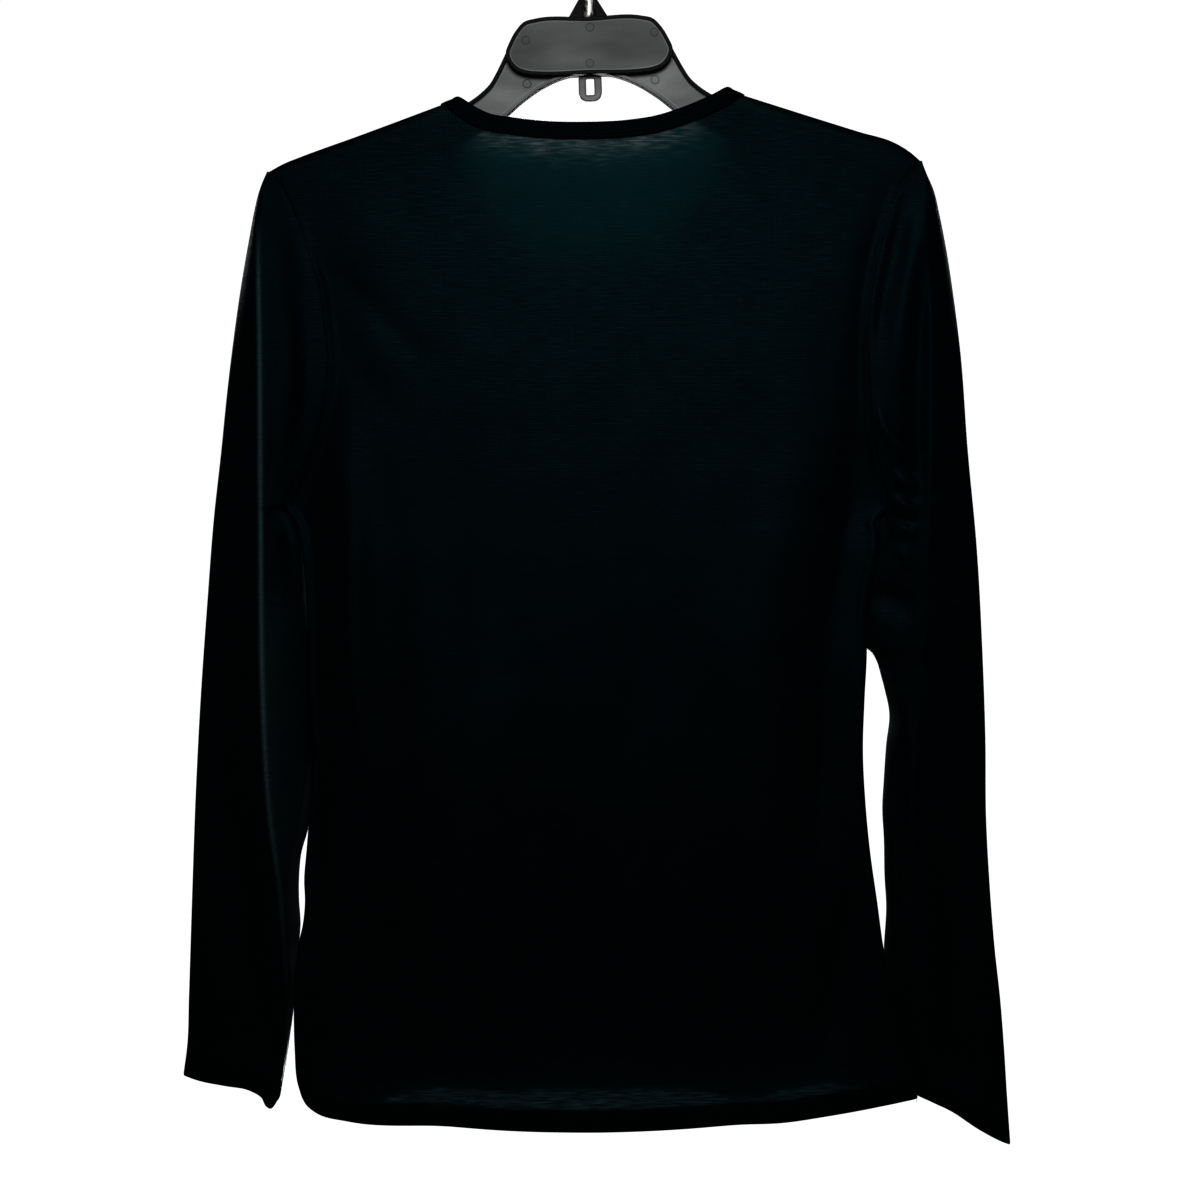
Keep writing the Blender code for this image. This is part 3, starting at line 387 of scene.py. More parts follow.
def from_side_fold(side, x, z):
    """Distance from the fold that runs down the side from the underarm point."""
    corner, seam = UNDERARM[side], SIDES[side]
    beside = np.abs(x - np.interp(-z, -seam[:, 1], seam[:, 0]))
    return np.where(z > corner.z, np.hypot(x - corner.x, z - corner.z), beside)


def body_y(panel, x, z):
    """The panel's place from front to back, at arrays of points."""
    x, z = np.asarray(x, float), np.asarray(z, float)
    left, right = edge_x(panel, "left", z), edge_x(panel, "right", z)
    ends = [np.interp(-z, *SPANS[panel, side].T) for side in BOTH_SIDES]
    across = np.clip((x - ends[0]) / (ends[1] - ends[0]), 0, 1)
    edge = read_depth(BODY_DEPTHS, "edge", z)
    middle = read_depth(BODY_DEPTHS, panel.split("_")[0], z)
    depth = edge + (middle - edge) * (1 - np.abs(2 * across - 1) ** SWELL_POWER)
    near_side = np.maximum(np.minimum(x - left, right - x), 0)
    lift = fold_height(BODY_FOLDS[panel], x, z) + wander(x, z, len(panel))
    depth += lift * np.clip(near_side / SEAM_PIN, 0, 1)
    depth -= SEAM_DIP * np.exp(-((near_side / SEAM_DIP_WIDTH) ** 2))
    below_shoulder = np.interp(x, SHOULDERS[:, 0], SHOULDERS[:, 1]) - z
    depth *= quarter_round(below_shoulder, SHOULDER_ROUND)
    side_gap = np.minimum(from_side_fold("left", x, z), from_side_fold("right", x, z))
    depth = np.maximum(depth * quarter_round(side_gap, SIDE_FOLD), CLOTH_WALL / 2)
    depth = np.where(side_gap < AT_THE_EDGE, -SEAM_LAP, depth)
    depth = np.where(below_shoulder < AT_THE_EDGE, 0, depth)
    lowered = smoothstep((UNDERARM["left"].z + 6 - z) / FORWARD_DROP)
    plane = SIDE_FORWARD * lowered * np.abs(2 * across - 1) ** 3
    return plane + (-depth if panel == "back_panel" else depth)


chest = [float(body_y(panel, [0.0], [-400.0])[0]) for panel in BODY_FOLDS]
print(f"the body is {chest[1] - chest[0]:.0f} mm deep at the chest")

# %% [markdown]
# ## Turning a flat cut into a grid of cloth
# A panel has four sides, so a grid of points blends between its four edge curves. Rows lie closer
# together at the shoulder and the hem, and columns at the sides, where the cloth bends most.

# %% Grids of the body panels
HEM_TURN = 13               # rows a millimetre apart above the hem; the same are turned up inside
SIDE_LENGTH = 385
ARMHOLE_STEPS = steps(82, first=0.12, last=0.4)
side_rows = steps(134, first=0.35, last=0.6) * (1 - HEM_TURN / SIDE_LENGTH)
SIDE_STEPS = np.concatenate([side_rows[1:], 1 - np.arange(HEM_TURN - 1, -1, -1) / SIDE_LENGTH])
SIDE_COLUMNS = np.array([0, 0.25, 0.6, 1.1, 1.8, 2.7, 3.8, 5.2, 7.0])
NECK_ROW = int(np.argmin(np.abs(ARMHOLE_STEPS - 0.24)))    # the row of the front neck's foot
SHOULDER_COLUMNS = 44
NECK_FOOT_COLUMNS = 60


def patch(top, bottom, left, right, across, down):
    """A grid of (x, z) points between four curves, each sampled at the given fractions."""
    u, v = np.asarray(across)[None, :, None], np.asarray(down)[:, None, None]
    between = (1 - v) * top[None] + v * bottom[None] + (1 - u) * left[:, None] + u * right[:, None]
    ends = [(1 - v) * top[i] + v * bottom[i] for i in (0, -1)]
    return between - ((1 - u) * ends[0] + u * ends[1])


def falling(left, right):
    """How far down each row lies, as the mean of the two sides."""
    drops = [(edge[0, 1] - edge[:, 1]) / (edge[0, 1] - edge[-1, 1]) for edge in (left, right)]
    return (drops[0] + drops[1]) / 2


def panel_edge(panel, side, first=0):
    """The panel's side from the given armhole row down to the hem, one point a row."""
    armhole = along(ARMHOLES[panel, side], ARMHOLE_STEPS[first:])
    return np.vstack([armhole, along(SIDES[side], SIDE_STEPS)])


def columns(marks, spacing=2.7):
    """Places across a panel: close together beside its two ends, and even between the marks."""
    start, stop = marks[0], marks[-1]
    places = list(start + SIDE_COLUMNS)
    for mark in marks[1:-1] + [stop - SIDE_COLUMNS[-1]]:
        count = max(1, round((mark - places[-1]) / spacing))
        places += list(np.linspace(places[-1], mark, count + 1)[1:])
    return np.array(places + list(stop - SIDE_COLUMNS[-2::-1]))


print("rows of a panel:", len(ARMHOLE_STEPS) + len(SIDE_STEPS))


# %% The panels laid flat
def back_panel_flat():
    left, right = [panel_edge("back_panel", side) for side in BOTH_SIDES]
    x = columns([left[0, 0], BACK_NECK[0].x, BACK_NECK[-1].x, right[0, 0]])
    line = np.vstack([smooth_curve(rows) for rows in (LEFT_SHOULDER, BACK_NECK, RIGHT_SHOULDER)])
    top = np.stack([x, np.interp(x, line[:, 0], line[:, 1])], axis=1)
    across = (x - x[0]) / (x[-1] - x[0])
    bottom = along(smooth_curve(BACK_HEM), across)
    return [patch(top, bottom, left, right, across, falling(left, right))]


def shoulder_piece(armhole, neck, shoulder, is_left):
    """The part of the front panel beside the neck, from the shoulder to the neck's foot row."""
    inner = steps(SHOULDER_COLUMNS, first=0.14, last=0.5)
    across = inner if is_left else 1 - inner[::-1]
    drop = (armhole[0, 1] - armhole[:, 1]) / (armhole[0, 1] - armhole[-1, 1])
    neck_side = along(neck, drop)
    ends = (armhole[-1], neck_side[-1]) if is_left else (neck_side[-1], armhole[-1])
    foot = ends[0] * (1 - across[:, None]) + ends[1] * across[:, None]
    sides = (armhole, neck_side) if is_left else (neck_side, armhole)
    return patch(along(shoulder, across), foot, *sides, across, drop), foot


def front_panel_flats():
    """Two shoulder pieces beside the neck, and the rest of the panel below them."""
    left, right = [panel_edge("front_panel", side) for side in BOTH_SIDES]
    upper = NECK_ROW + 1
    left_grid, left_foot = shoulder_piece(
        left[:upper], smooth_curve(FRONT_NECK_LEFT), smooth_curve(LEFT_SHOULDER), True)
    right_grid, right_foot = shoulder_piece(
        right[:upper], smooth_curve(FRONT_NECK_RIGHT)[::-1], smooth_curve(RIGHT_SHOULDER), False)
    neck_foot = along(smooth_curve(FRONT_NECK_FOOT), np.linspace(0, 1, NECK_FOOT_COLUMNS))
    top = np.vstack([left_foot, neck_foot[1:-1], right_foot])
    across = (top[:, 0] - top[0, 0]) / (top[-1, 0] - top[0, 0])
    left, right = left[NECK_ROW:], right[NECK_ROW:]
    bottom = along(smooth_curve(FRONT_HEM), across)
    return [left_grid, right_grid, patch(top, bottom, left, right, across, falling(left, right))]


back_flat, front_flats = back_panel_flat(), front_panel_flats()
print("grids, rows by columns:", [flat.shape[:2] for flat in back_flat + front_flats])

# %% [markdown]
# ## From a grid to a shell
# Blender's grid operator makes the quads, and each vertex is then moved to its place. The hem is
# made as it is sewn: the cloth goes down to the edge, turns, and runs back up inside. Solidify
# gives the wall its thickness. Each vertex also carries its place on the cloth, in metres, so
# that the knit follows the cloth and not the room.

# %% Cloth helpers
HEM_LAYER = 1.15            # millimetres between the middles of the two layers of a turned hem
WELD = 0.01                 # points nearer than this, in millimetres, become one


def turned_up(grid, inwards, rows=HEM_TURN):
    """Adds rows to a grid that turn round its lower edge and run back up inside."""
    under = grid[-2:-rows - 2:-1].copy()
    rise = smoothstep(np.arange(1, rows + 1) / 1.6)[:, None]
    under[:, :, 1] += inwards[-2:-rows - 2:-1] * HEM_LAYER * rise
    return np.concatenate([grid, under])


def weld(bm, distance=WELD):
    """Joins doubled points and turns the faces outwards."""
    bmesh.ops.remove_doubles(bm, verts=bm.verts, dist=distance * MM)
    bmesh.ops.recalc_face_normals(bm, faces=bm.faces)


def add_grid(bm, grid):
    """A sheet of quads on a grid of (x, y, z) millimetres. Returns its vertices."""
    rows, count = grid.shape[:2]
    made = bmesh.ops.create_grid(bm, x_segments=count - 1, y_segments=rows - 1, size=1)["verts"]
    for vertex, co in zip(made, grid.reshape(-1, 3) * MM):
        vertex.co = co
    return made


def painted_glow_at(grid):
    """Where more light is painted through the cloth: in a band just below the neck, and above the
    hem turn, where there is one layer only, as the front panel ends higher."""
    neck, front, hem = [smooth_curve(rows) for rows in (BACK_NECK, FRONT_HEM, BACK_HEM)]
    x, z = grid[..., 0], grid[..., 2]
    below = np.interp(x, neck[:, 0], neck[:, 1]) - z
    # painted light in a band just below the neck
    drawn = 0.75 * np.exp(-((below / 13) ** 2)) + 0.25 * np.exp(-((below / 36) ** 2))
    single = smoothstep((np.interp(x, front[:, 0], front[:, 1]) - z) / 1.5)
    single *= smoothstep((z - np.interp(x, hem[:, 0], hem[:, 1]) - HEM_TURN) / 1.0)
    return drawn + 0.45 * single


def add_sheet(bm, grid, place, painted_highlight, with_painted_glow=False):
    """A sheet of cloth whose vertices know their place on it, the highlight painted on them, and
    the light painted through them.
    """
    where = bm.verts.layers.float_vector["place"]
    highlight_layer, glow_layer = bm.verts.layers.float["painted_highlight"], bm.verts.layers.float["painted_glow"]
    painted_glow = painted_glow_at(grid) if with_painted_glow else np.zeros(grid.shape[:2])
    marks = zip(place.reshape(-1, 2) * MM, painted_highlight.ravel(), painted_glow.ravel())
    for vertex, (at, highlight_share, drawn) in zip(add_grid(bm, grid), marks):
        vertex[where] = (*at, 0)
        vertex[highlight_layer] = highlight_share
        vertex[glow_layer] = drawn


print(f"a turned hem is {HEM_LAYER + CLOTH_WALL:.2f} mm thick")


# %% Making a piece
def new_cloth_mesh():
    bm = bmesh.new()
    bm.verts.layers.float_vector.new("place")
    bm.verts.layers.float.new("painted_highlight")
    bm.verts.layers.float.new("painted_glow")
    return bm


def add_piece(name, bm, slot, *stands_for):
    """Makes the object, smooth, riding on the one body, in place of the named solids."""
    mesh = bpy.data.meshes.new(name)
    bm.to_mesh(mesh)
    bm.free()
    mesh.shade_smooth()
    piece = bpy.data.objects.new(name, mesh)
    bpy.context.scene.collection.objects.link(piece)
    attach(piece, "root")
    if stands_for:
        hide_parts(*stands_for)
    print(f"{name}: {len(mesh.vertices)} vertices, {len(mesh.polygons)} faces")
    return piece


def give_wall(piece, thickness):
    wall = piece.modifiers.new("wall", "SOLIDIFY")
    wall.thickness = thickness * MM
    wall.offset = 0
    return piece


def cloth_piece(name, sheets, node):
    bm = new_cloth_mesh()
    for grid, place, painted_highlight in sheets:
        add_sheet(bm, grid, place, painted_highlight, node == "back_panel")
    weld(bm)
    return give_wall(add_piece(name, bm, "jersey", node), CLOTH_WALL)


# %% [markdown]
# ## The two body panels
# The flat grids are now given their depth, their turned hem and their wall. The back panel hangs
# lower than the front one, so a single layer shows above its hem, where more light comes through,
# and more light is painted through it there.

# %% Body panels
HEM_TAPER = 6               # the turned hem is thinner over this distance from the side seams


def body_sheet(panel, flat, has_hem):
    x, z = flat[..., 0], flat[..., 1]
    grid = np.stack([x, body_y(panel, x, z), z], axis=-1)
    place = flat
    if has_hem:
        inwards = np.full(x.shape, 1.0 if panel == "back_panel" else -1.0)
        room = np.minimum(x - x[:, :1], x[:, -1:] - x)
        inwards *= np.clip(room / HEM_TAPER, 0.25, 1)
        grid = turned_up(grid, inwards)
        place = np.concatenate([flat, 2 * flat[-1:] - flat[-2:-HEM_TURN - 2:-1]])
    return grid, place, np.zeros(grid.shape[:2])


back_sheets = [body_sheet("back_panel", back_flat[0], True)]
back_cloth = cloth_piece("back_panel_cloth", back_sheets, "back_panel")
front_sheets = [body_sheet("front_panel", flat, i == 2) for i, flat in enumerate(front_flats)]
front_cloth = cloth_piece("front_panel_cloth", front_sheets, "front_panel")

# %% [markdown]
# ## Sleeves
# Each sleeve is one piece of cloth closed by a seam under the arm. Its sections run from the outer
# fold to the inner edge and back on the other face. Above the underarm point the sections are
# open towards the body, where the sleeve is sewn into the armhole.

# %% Outlines and depths of the sleeves
SLEEVE_LINES = {
    ("left", "outer"): points(
        (-205, -164), (-208.5, -170.5), (-211, -177), (-214, -189), (-217, -204.5), (-222.5, -236),
        (-228, -274.5), (-231.5, -303), (-235.5, -341.5), (-240.5, -386.5), (-244.5, -437.5),
        (-249, -501.5), (-252, -559), (-254.5, -629.5), (-256.5, -693.5), (-257.5, -722.5),
        (-260, -742)),
    ("left", "inner"): points(
        (-196, -378), (-189, -385), (-180.5, -402.5), (-177.5, -437.5), (-174.5, -488.5),
        (-174, -527), (-176, -559), (-181, -584.5), (-185.5, -600.5), (-187, -616.5),
        (-187, -629.5), (-186, -645.5), (-187, -661.5), (-186, -677.5), (-189.5, -695.5),
        (-192, -712.5), (-195, -732), (-199, -748)),
    ("left", "cuff"): points(
        (-260, -742), (-249, -745.5), (-233, -748.5), (-217, -751.5), (-209.5, -756),
        (-206.5, -761.5), (-204, -763), (-201, -760), (-199, -748)),
    ("right", "outer"): points(
        (212, -157), (215.5, -165), (220, -175), (224, -191), (228.5, -213.5), (233, -242.5),
        (237.5, -277.5), (242.5, -341.5), (248.5, -405.5), (252, -469.5), (254, -527),
        (254.5, -578.5), (256.5, -616.5), (260, -661.5), (263.5, -693.5), (266, -725.5),
        (268, -757.5), (270, -786.5)),
    ("right", "inner"): points(
        (191.5, -376), (186, -386.5), (182, -404), (176.5, -424.5), (174, -444), (173.5, -458),
        (176, -466.5), (182, -471), (185.5, -477), (188, -485.5), (190.5, -495), (193.5, -510),
        (191.5, -530.5), (190, -552.5), (189, -572), (190, -591), (190.5, -616.5), (191.5, -632.5),
        (190, -661.5), (189.5, -687), (194, -712.5), (201, -738.5), (206.5, -753.5)),
    ("right", "cuff"): points(
        (270, -786.5), (263, -783.5), (250, -776.5), (231, -764), (218, -758), (206.5, -753.5)),
}
SleeveDepth = namedtuple("SleeveDepth", "z outer back front roof left_inner right_inner")
SLEEVE_DEPTHS = [SleeveDepth(*row) for row in (
    (-160, 0, 6.5, 6.5, 0, 1, 1),
    (-205, 1, 9.5, 9.5, 0.6, 1, 1),
    (-300, 3, 11.5, 12, 1, 1, 1),
    (-400, 5, 12, 12, 1, 1, 1),
    (-470, 5.5, 12, 11.5, 1, 0.85, 0.8),
    (-550, 6, 12, 11, 1, 0.75, 0.65),
    (-700, 6, 12, 11.5, 0.9, 0.6, 0.6),
    (-790, 6, 11, 12, 0.6, 0.8, 0.8),
)]
# Below the underarm point the inner edge slips in front of the body, out of the viewer's sight.
UnderarmSlip = namedtuple("UnderarmSlip", "drop y away")
UNDERARM_SLIP = [UnderarmSlip(*row) for row in (
    (0, 0, 0),
    (2, 3, -0.5),
    (6, 8, -3),
    (10, 10, -4),
    (16, 11, -3.5),
    (30, 11.5, -1.5),
    (60, 12, 0),
)]
OUTER_LINES = {side: smooth_curve(SLEEVE_LINES[side, "outer"]) for side in BOTH_SIDES}
for side, line in OUTER_LINES.items():
    print(f"{side} sleeve: {lengths(line)[-1]:.0f} mm along its outer line")

# %% [markdown]
# ## The sleeves' folds
# One sleeve was pressed flat in its pack and has a crease down its whole length. The other is
# crumpled where it bunches at the armpit. Pressed creases get a sharper profile than hung folds,
# and the crumple is a stack of short ridges and troughs that lie across the sleeve.

# %% Folds of the sleeves
PRESSED_CREASE = folds(
    (2, 9, (-210.5, -170), (-211, -207), (-210, -277.5), (-209.5, -399), (-208.5, -501.5),
     (-204, -578.5), (-198, -623), (-194.5, -668), (-193.5, -693.5), (-195, -725.5),
     (-204, -757.5)),
)[0]
RIGHT_RIDGE = points(
    (215.4, -166), (215, -200), (217, -231.5), (218.5, -284.5), (218, -347), (217, -394),
    (215, -440), (212, -490), (208, -540), (204.5, -610), (208, -690), (222, -770))
SLEEVE_FOLDS = {
    ("left", "back"): folds(
        (-2.4, 9, (-204, -168), (-202.5, -188.5), (-197, -221), (-192.5, -249.5), (-192, -279),
         (-194, -310), (-197, -341), (-200, -366), (-202, -404), (-199, -429), (-193, -454),
         (-185, -482)),
        (1.5, 6, (-191, -222), (-183, -262), (-180, -300), (-184, -335), (-190, -352)),
        (4.5, 9, (-192, -372), (-187, -400), (-182, -432), (-178, -470)),
        (3.5, 4, (-179, -535), (-183, -556), (-187, -580), (-191, -600), (-198, -624)),
        (-3.5, 5, (-174, -545), (-179, -580), (-184, -606)),
        (-1.5, 9, (-232, -420), (-234, -520), (-232, -640)),
        (-1.6, 7, (-222, -560), (-224, -640), (-214, -720)),
        (1.6, 9, (-240, -600), (-243, -680), (-246, -735)),
        (-3, 4.5, (-203, -700), (-207, -730), (-213, -752)),
    ),
    ("left", "front"): folds(
        (-6, 7, (-203, -176), (-196, -235), (-190, -300), (-200, -400)),
        (3, 6, (-216, -200), (-218, -330), (-214, -480), (-212, -640)),
        (-2.5, 7, (-228, -300), (-232, -420), (-230, -560)),
        (2, 5, (-194, -350), (-203, -366), (-214, -372)),
        (-1.8, 6, (-196, -520), (-204, -600), (-206, -700)),
    ),
    ("right", "back"): folds(
        (-2.2, 7, (207, -168), (202, -184.5), (195, -216), (186, -253), (180, -294)),
        (3.4, 8, (215, -166), (212, -191), (203, -238), (198, -278), (196, -318)),
        (-3.6, 6.5, (215, -205), (212, -245), (209, -290), (209, -330), (210, -372), (209, -410)),
        (1.6, 4, *RIGHT_RIDGE[:7]),
        (2.8, 4, (180, -306), (186, -324), (192.5, -334), (200, -341), (206, -348), (211, -357)),
        (-2.2, 3, (194, -350), (201, -354.5), (210, -357)),
        (2.2, 3.6, (194, -357), (200, -360), (206, -364), (210, -371)),
        (-2.2, 2.8, (193, -366), (201, -371), (211, -375)),
        (2.2, 3.6, (195, -374), (201, -377), (206, -380), (209, -386)),
        (-2, 2.8, (192, -382), (200, -386), (209, -391)),
        (2, 3.4, (195, -388), (200, -391), (205, -394), (207, -400)),
        (-3.5, 5, (185, -336), (190, -356), (191, -388), (192, -412)),
        (1.6, 3.2, (196, -402), (202, -410), (204, -422)),
        (-4, 9, (180, -428), (196, -438), (212, -446)),
        (1.6, 9, (186, -480), (196, -500), (199, -540)),
        (-1.4, 8, (228, -560), (232, -640), (240, -720)),
        (2, 8, (214, -580), (216, -660), (224, -730)),
        (-2.4, 5, (197, -520), (200, -590), (198, -660)),
        (1.8, 7, (252, -690), (255, -730), (258, -765)),
    ),
    ("right", "front"): folds(
        (-6, 7, (209, -170), (202, -232), (198, -300), (206, -400)),
        (3, 6, (222, -200), (224, -330), (222, -480), (226, -650)),
        (3, 4, (188, -330), (197, -345), (208, -352)),
        (-2.6, 3.6, (188, -344), (198, -358), (210, -366)),
        (-2.4, 7, (236, -380), (241, -480), (238, -620)),
        (1.8, 6, (202, -540), (206, -640), (214, -720)),
    ),
}
CREASE_SHARPNESS = 1.15     # a pressed crease has a sharp top, a soft fold a round one
RIDGES = {"left": smooth_curve(PRESSED_CREASE.path), "right": smooth_curve(RIGHT_RIDGE)}
print("folds:", {" ".join(key): len(rows) for key, rows in SLEEVE_FOLDS.items()})

# %% [markdown]
# ## Sections of a sleeve
# A hanging sleeve isn't a tube but a flattened one. Its section runs from a tight outer fold over
# a sloping back, like a roof with its ridge at the main crease, to a wider fold under the arm.
# Writing the section as a function of height lets every ring differ, with no ring drawn by hand.

# %% Sections of a sleeve
OUTER_ROUND = 0.1           # share of the sleeve's width taken by the outer fold
INNER_ROUND = 0.25          # and by the underarm fold
ROOF_EAVES = 0.12           # the cloth slopes like a roof, to this share of its depth at the edge
SLIP_SPREAD = 45            # near the underarm only the inner part of the sleeve slips back
LEAST_DEPTH = 0.4           # the two faces never come closer to the middle than this
ARMHOLE_BUTT = 0.1          # the sleeve's edge butts against the panel's
CORNER_BUTT = 0.15          # and keeps a little more off at the seam's two ends
CUFF_TURN = 12
CREASE_HIGHLIGHT = 0.85         # the painted highlight along the pressed crease
CREASE_LINE = 1.3           # its half width
BESIDE_CREASE_SHEEN = 0.22         # a weaker painted sheen on the cloth beside it
SHEEN_WIDTH = 13
SHEEN_SPAN = (-410, -640)  # from and down to these heights
SHEEN_FADE = 60
SLEEVE_LENGTH = 380
BACK_SHARES = steps(66, first=0.25, last=0.3)
FRONT_SHARES = steps(44, first=0.25, last=0.3)
cuff_rows = steps(150, first=0.2, last=0.6) * (1 - CUFF_TURN / SLEEVE_LENGTH)
turn_rows = 1 - np.arange(CUFF_TURN - 1, -1, -1) / SLEEVE_LENGTH
UNDERARM_STEPS = np.concatenate([cuff_rows[1:], turn_rows])
print("rows from the underarm to the cuff:", len(UNDERARM_STEPS))


def painted_crease_highlight(x, z):
    """A painted highlight along the pressed crease, and a weaker painted sheen on its inner side.
    """
    gap, share = near_fold(PRESSED_CREASE, x, z)
    line = CREASE_HIGHLIGHT * np.exp(-((gap / CREASE_LINE) ** 2))
    line *= smoothstep(share / 0.15) * smoothstep((1 - share) / 0.45)
    inside = x > np.interp(-z, -RIDGES["left"][:, 1], RIDGES["left"][:, 0])
    top, foot = SHEEN_SPAN
    highlit = BESIDE_CREASE_SHEEN * inside * np.exp(-gap / SHEEN_WIDTH)
    highlit *= smoothstep((top - z) / SHEEN_FADE) * smoothstep((z - foot) / SHEEN_FADE)
    return line + highlit


def roof_form(side, face, outer, inner, shares):
    """The sleeve's back hangs like a roof from its ridge: steep outwards, gentler inwards."""
    middle = (outer[2] + inner[2]) / 2
    columns_read = [read_depth(SLEEVE_DEPTHS, name, middle) for name in ("roof", side + "_inner")]
    roof, inner_eaves = map(float, columns_read)
    line = RIDGES[side]
    ridge_x = float(np.interp(-middle, -line[:, 1], line[:, 0]))
    ridge = float(np.clip((ridge_x - outer[0]) / (inner[0] - outer[0]), 0.2, 0.9))
    form = ROOF_EAVES + (1 - ROOF_EAVES) * np.clip(shares / ridge, 0, 1)
    form *= 1 - (1 - inner_eaves) * np.clip((shares - ridge) / (1 - ridge), 0, 1)
    return 1 + min(max(roof, 0), 1) * (form - 1) * (1 if face == "back" else 0.4)


# %% One ring of a sleeve
def sleeve_half(side, face, outer, inner, edge_depth, shares):
    """Half a ring of the sleeve, from the outer fold (share 0) to the inner edge (share 1)."""
    depth = read_depth(SLEEVE_DEPTHS, face, (outer[2] + inner[2]) / 2)
    bend = 1 + 4 * math.exp(-abs(inner[2] - UNDERARM[side].z) / SLIP_SPREAD)
    sign = -1 if face == "back" else 1
    width = abs(inner[0] - outer[0])
    x = outer[0] + (inner[0] - outer[0]) * shares
    z = outer[2] + (inner[2] - outer[2]) * shares
    plane = outer[1] + (inner[1] - outer[1]) * shares ** bend
    body = edge_depth + (depth - edge_depth) * quarter_round(1 - shares, INNER_ROUND)
    body *= roof_form(side, face, outer, inner, shares)
    pinned = np.clip(width * (1 - shares) / SEAM_PIN, 0, 1)
    pinned *= np.clip(width * shares / SEAM_PIN, 0, 1)
    lift = fold_height(SLEEVE_FOLDS[side, face], x, z) + wander(x, z, len(side + face) * 3.1)
    if (side, face) == ("left", "back"):
        lift += fold_height([PRESSED_CREASE], x, z, CREASE_SHARPNESS)
    body = np.maximum(body + lift * pinned, LEAST_DEPTH)
    return np.stack([x, plane + sign * body * quarter_round(shares, OUTER_ROUND), z], axis=1)


def sleeve_ring(side, outer, inner_back, inner_front, back_depth, front_depth):
    back = sleeve_half(side, "back", outer, inner_back, back_depth, BACK_SHARES)
    front = sleeve_half(side, "front", outer, inner_front, front_depth, FRONT_SHARES)
    return np.vstack([back[::-1], front[1:]])


def butted(seam, out):
    """The seam's points moved squarely off the body, by more at its two ends."""
    way = unit(np.gradient(seam, axis=0))
    square = np.stack([-way[:, 1], way[:, 0]], axis=1)
    square *= np.sign(square[:, 0] * out)[:, None]
    near_end = np.clip(1 - np.minimum(ARMHOLE_STEPS / 0.12, (1 - ARMHOLE_STEPS) / 0.3), 0, 1)
    return seam + square * (ARMHOLE_BUTT + (CORNER_BUTT - ARMHOLE_BUTT) * near_end)[:, None]


def bent_to_cuff(ring, outer, inner, cuff, weight):
    """Moves a ring's points towards the cuff's curve, by more the nearer it is to the cuff."""
    share = (ring[:, 0] - outer[0]) / (inner[0] - outer[0])
    straight = cuff[0] * (1 - share[:, None]) + cuff[-1] * share[:, None]
    shift = (along(cuff, np.clip(share, 0, 1)) - straight) * weight
    return ring + np.stack([shift[:, 0], np.zeros(len(ring)), shift[:, 1]], axis=1)


print("points round a sleeve:", len(BACK_SHARES) + len(FRONT_SHARES) - 1)

# %% [markdown]
# ## The two sleeves
# The rings above the underarm point are open, and end on the armhole's own points, so the sleeve
# butts against the panel. Below it they close, and the last ones bend to the slanted cuff.

# %% Grids of the sleeves
def armhole_rings(side, outer_line):
    """Open rings down the armhole, after the point at the shoulder's tip."""
    seams = {face: along(ARMHOLES[face + "_panel", side], ARMHOLE_STEPS) for face in FACES}
    edges = {face: butted(seam, OUTWARDS[side]) for face, seam in seams.items()}
    deep = {face: np.abs(body_y(face + "_panel", *seam.T)) for face, seam in seams.items()}
    tip = (edges["back"][0, 0], 0.0, edges["back"][0, 1])
    rings = [np.tile(tip, (len(BACK_SHARES) + len(FRONT_SHARES) - 1, 1))]
    for i in range(1, len(ARMHOLE_STEPS) - 1):
        back, front = [(edges[face][i, 0], 0.0, edges[face][i, 1]) for face in FACES]
        outer_x = float(np.interp(-back[2], -outer_line[:, 1], outer_line[:, 0]))
        outer = (outer_x, float(read_depth(SLEEVE_DEPTHS, "outer", back[2])), back[2])
        rings.append(sleeve_ring(side, outer, back, front, deep["back"][i], deep["front"][i]))
    return rings


def lower_rings(side, outer_line):
    """Closed rings from the underarm point to the cuff."""
    corner, out = UNDERARM[side], OUTWARDS[side]
    inner_line = smooth_curve(SLEEVE_LINES[side, "inner"])
    cuff = smooth_curve(SLEEVE_LINES[side, "cuff"])
    start = (np.interp(-corner.z, -outer_line[:, 1], outer_line[:, 0]), corner.z)
    lower_outer = np.vstack([[start], outer_line[outer_line[:, 1] < corner.z]])
    drops, slip_y, slip_x = np.array(UNDERARM_SLIP).T
    rings = []
    for step in np.concatenate([[0], UNDERARM_STEPS]):
        outer_x, outer_z = along(lower_outer, step)
        inner_x, inner_z = along(inner_line, step)
        drop = corner.z - inner_z
        outer = (outer_x, float(read_depth(SLEEVE_DEPTHS, "outer", outer_z)), outer_z)
        inner_x += out * np.interp(drop, drops, slip_x)
        inner = (inner_x, np.interp(drop, drops, slip_y), inner_z)
        ring = sleeve_ring(side, outer, inner, inner, 0.0, 0.0)
        rings.append(bent_to_cuff(ring, outer, inner, cuff, step ** 4))
    return rings


print("rings above the underarm:", len(ARMHOLE_STEPS) - 1)


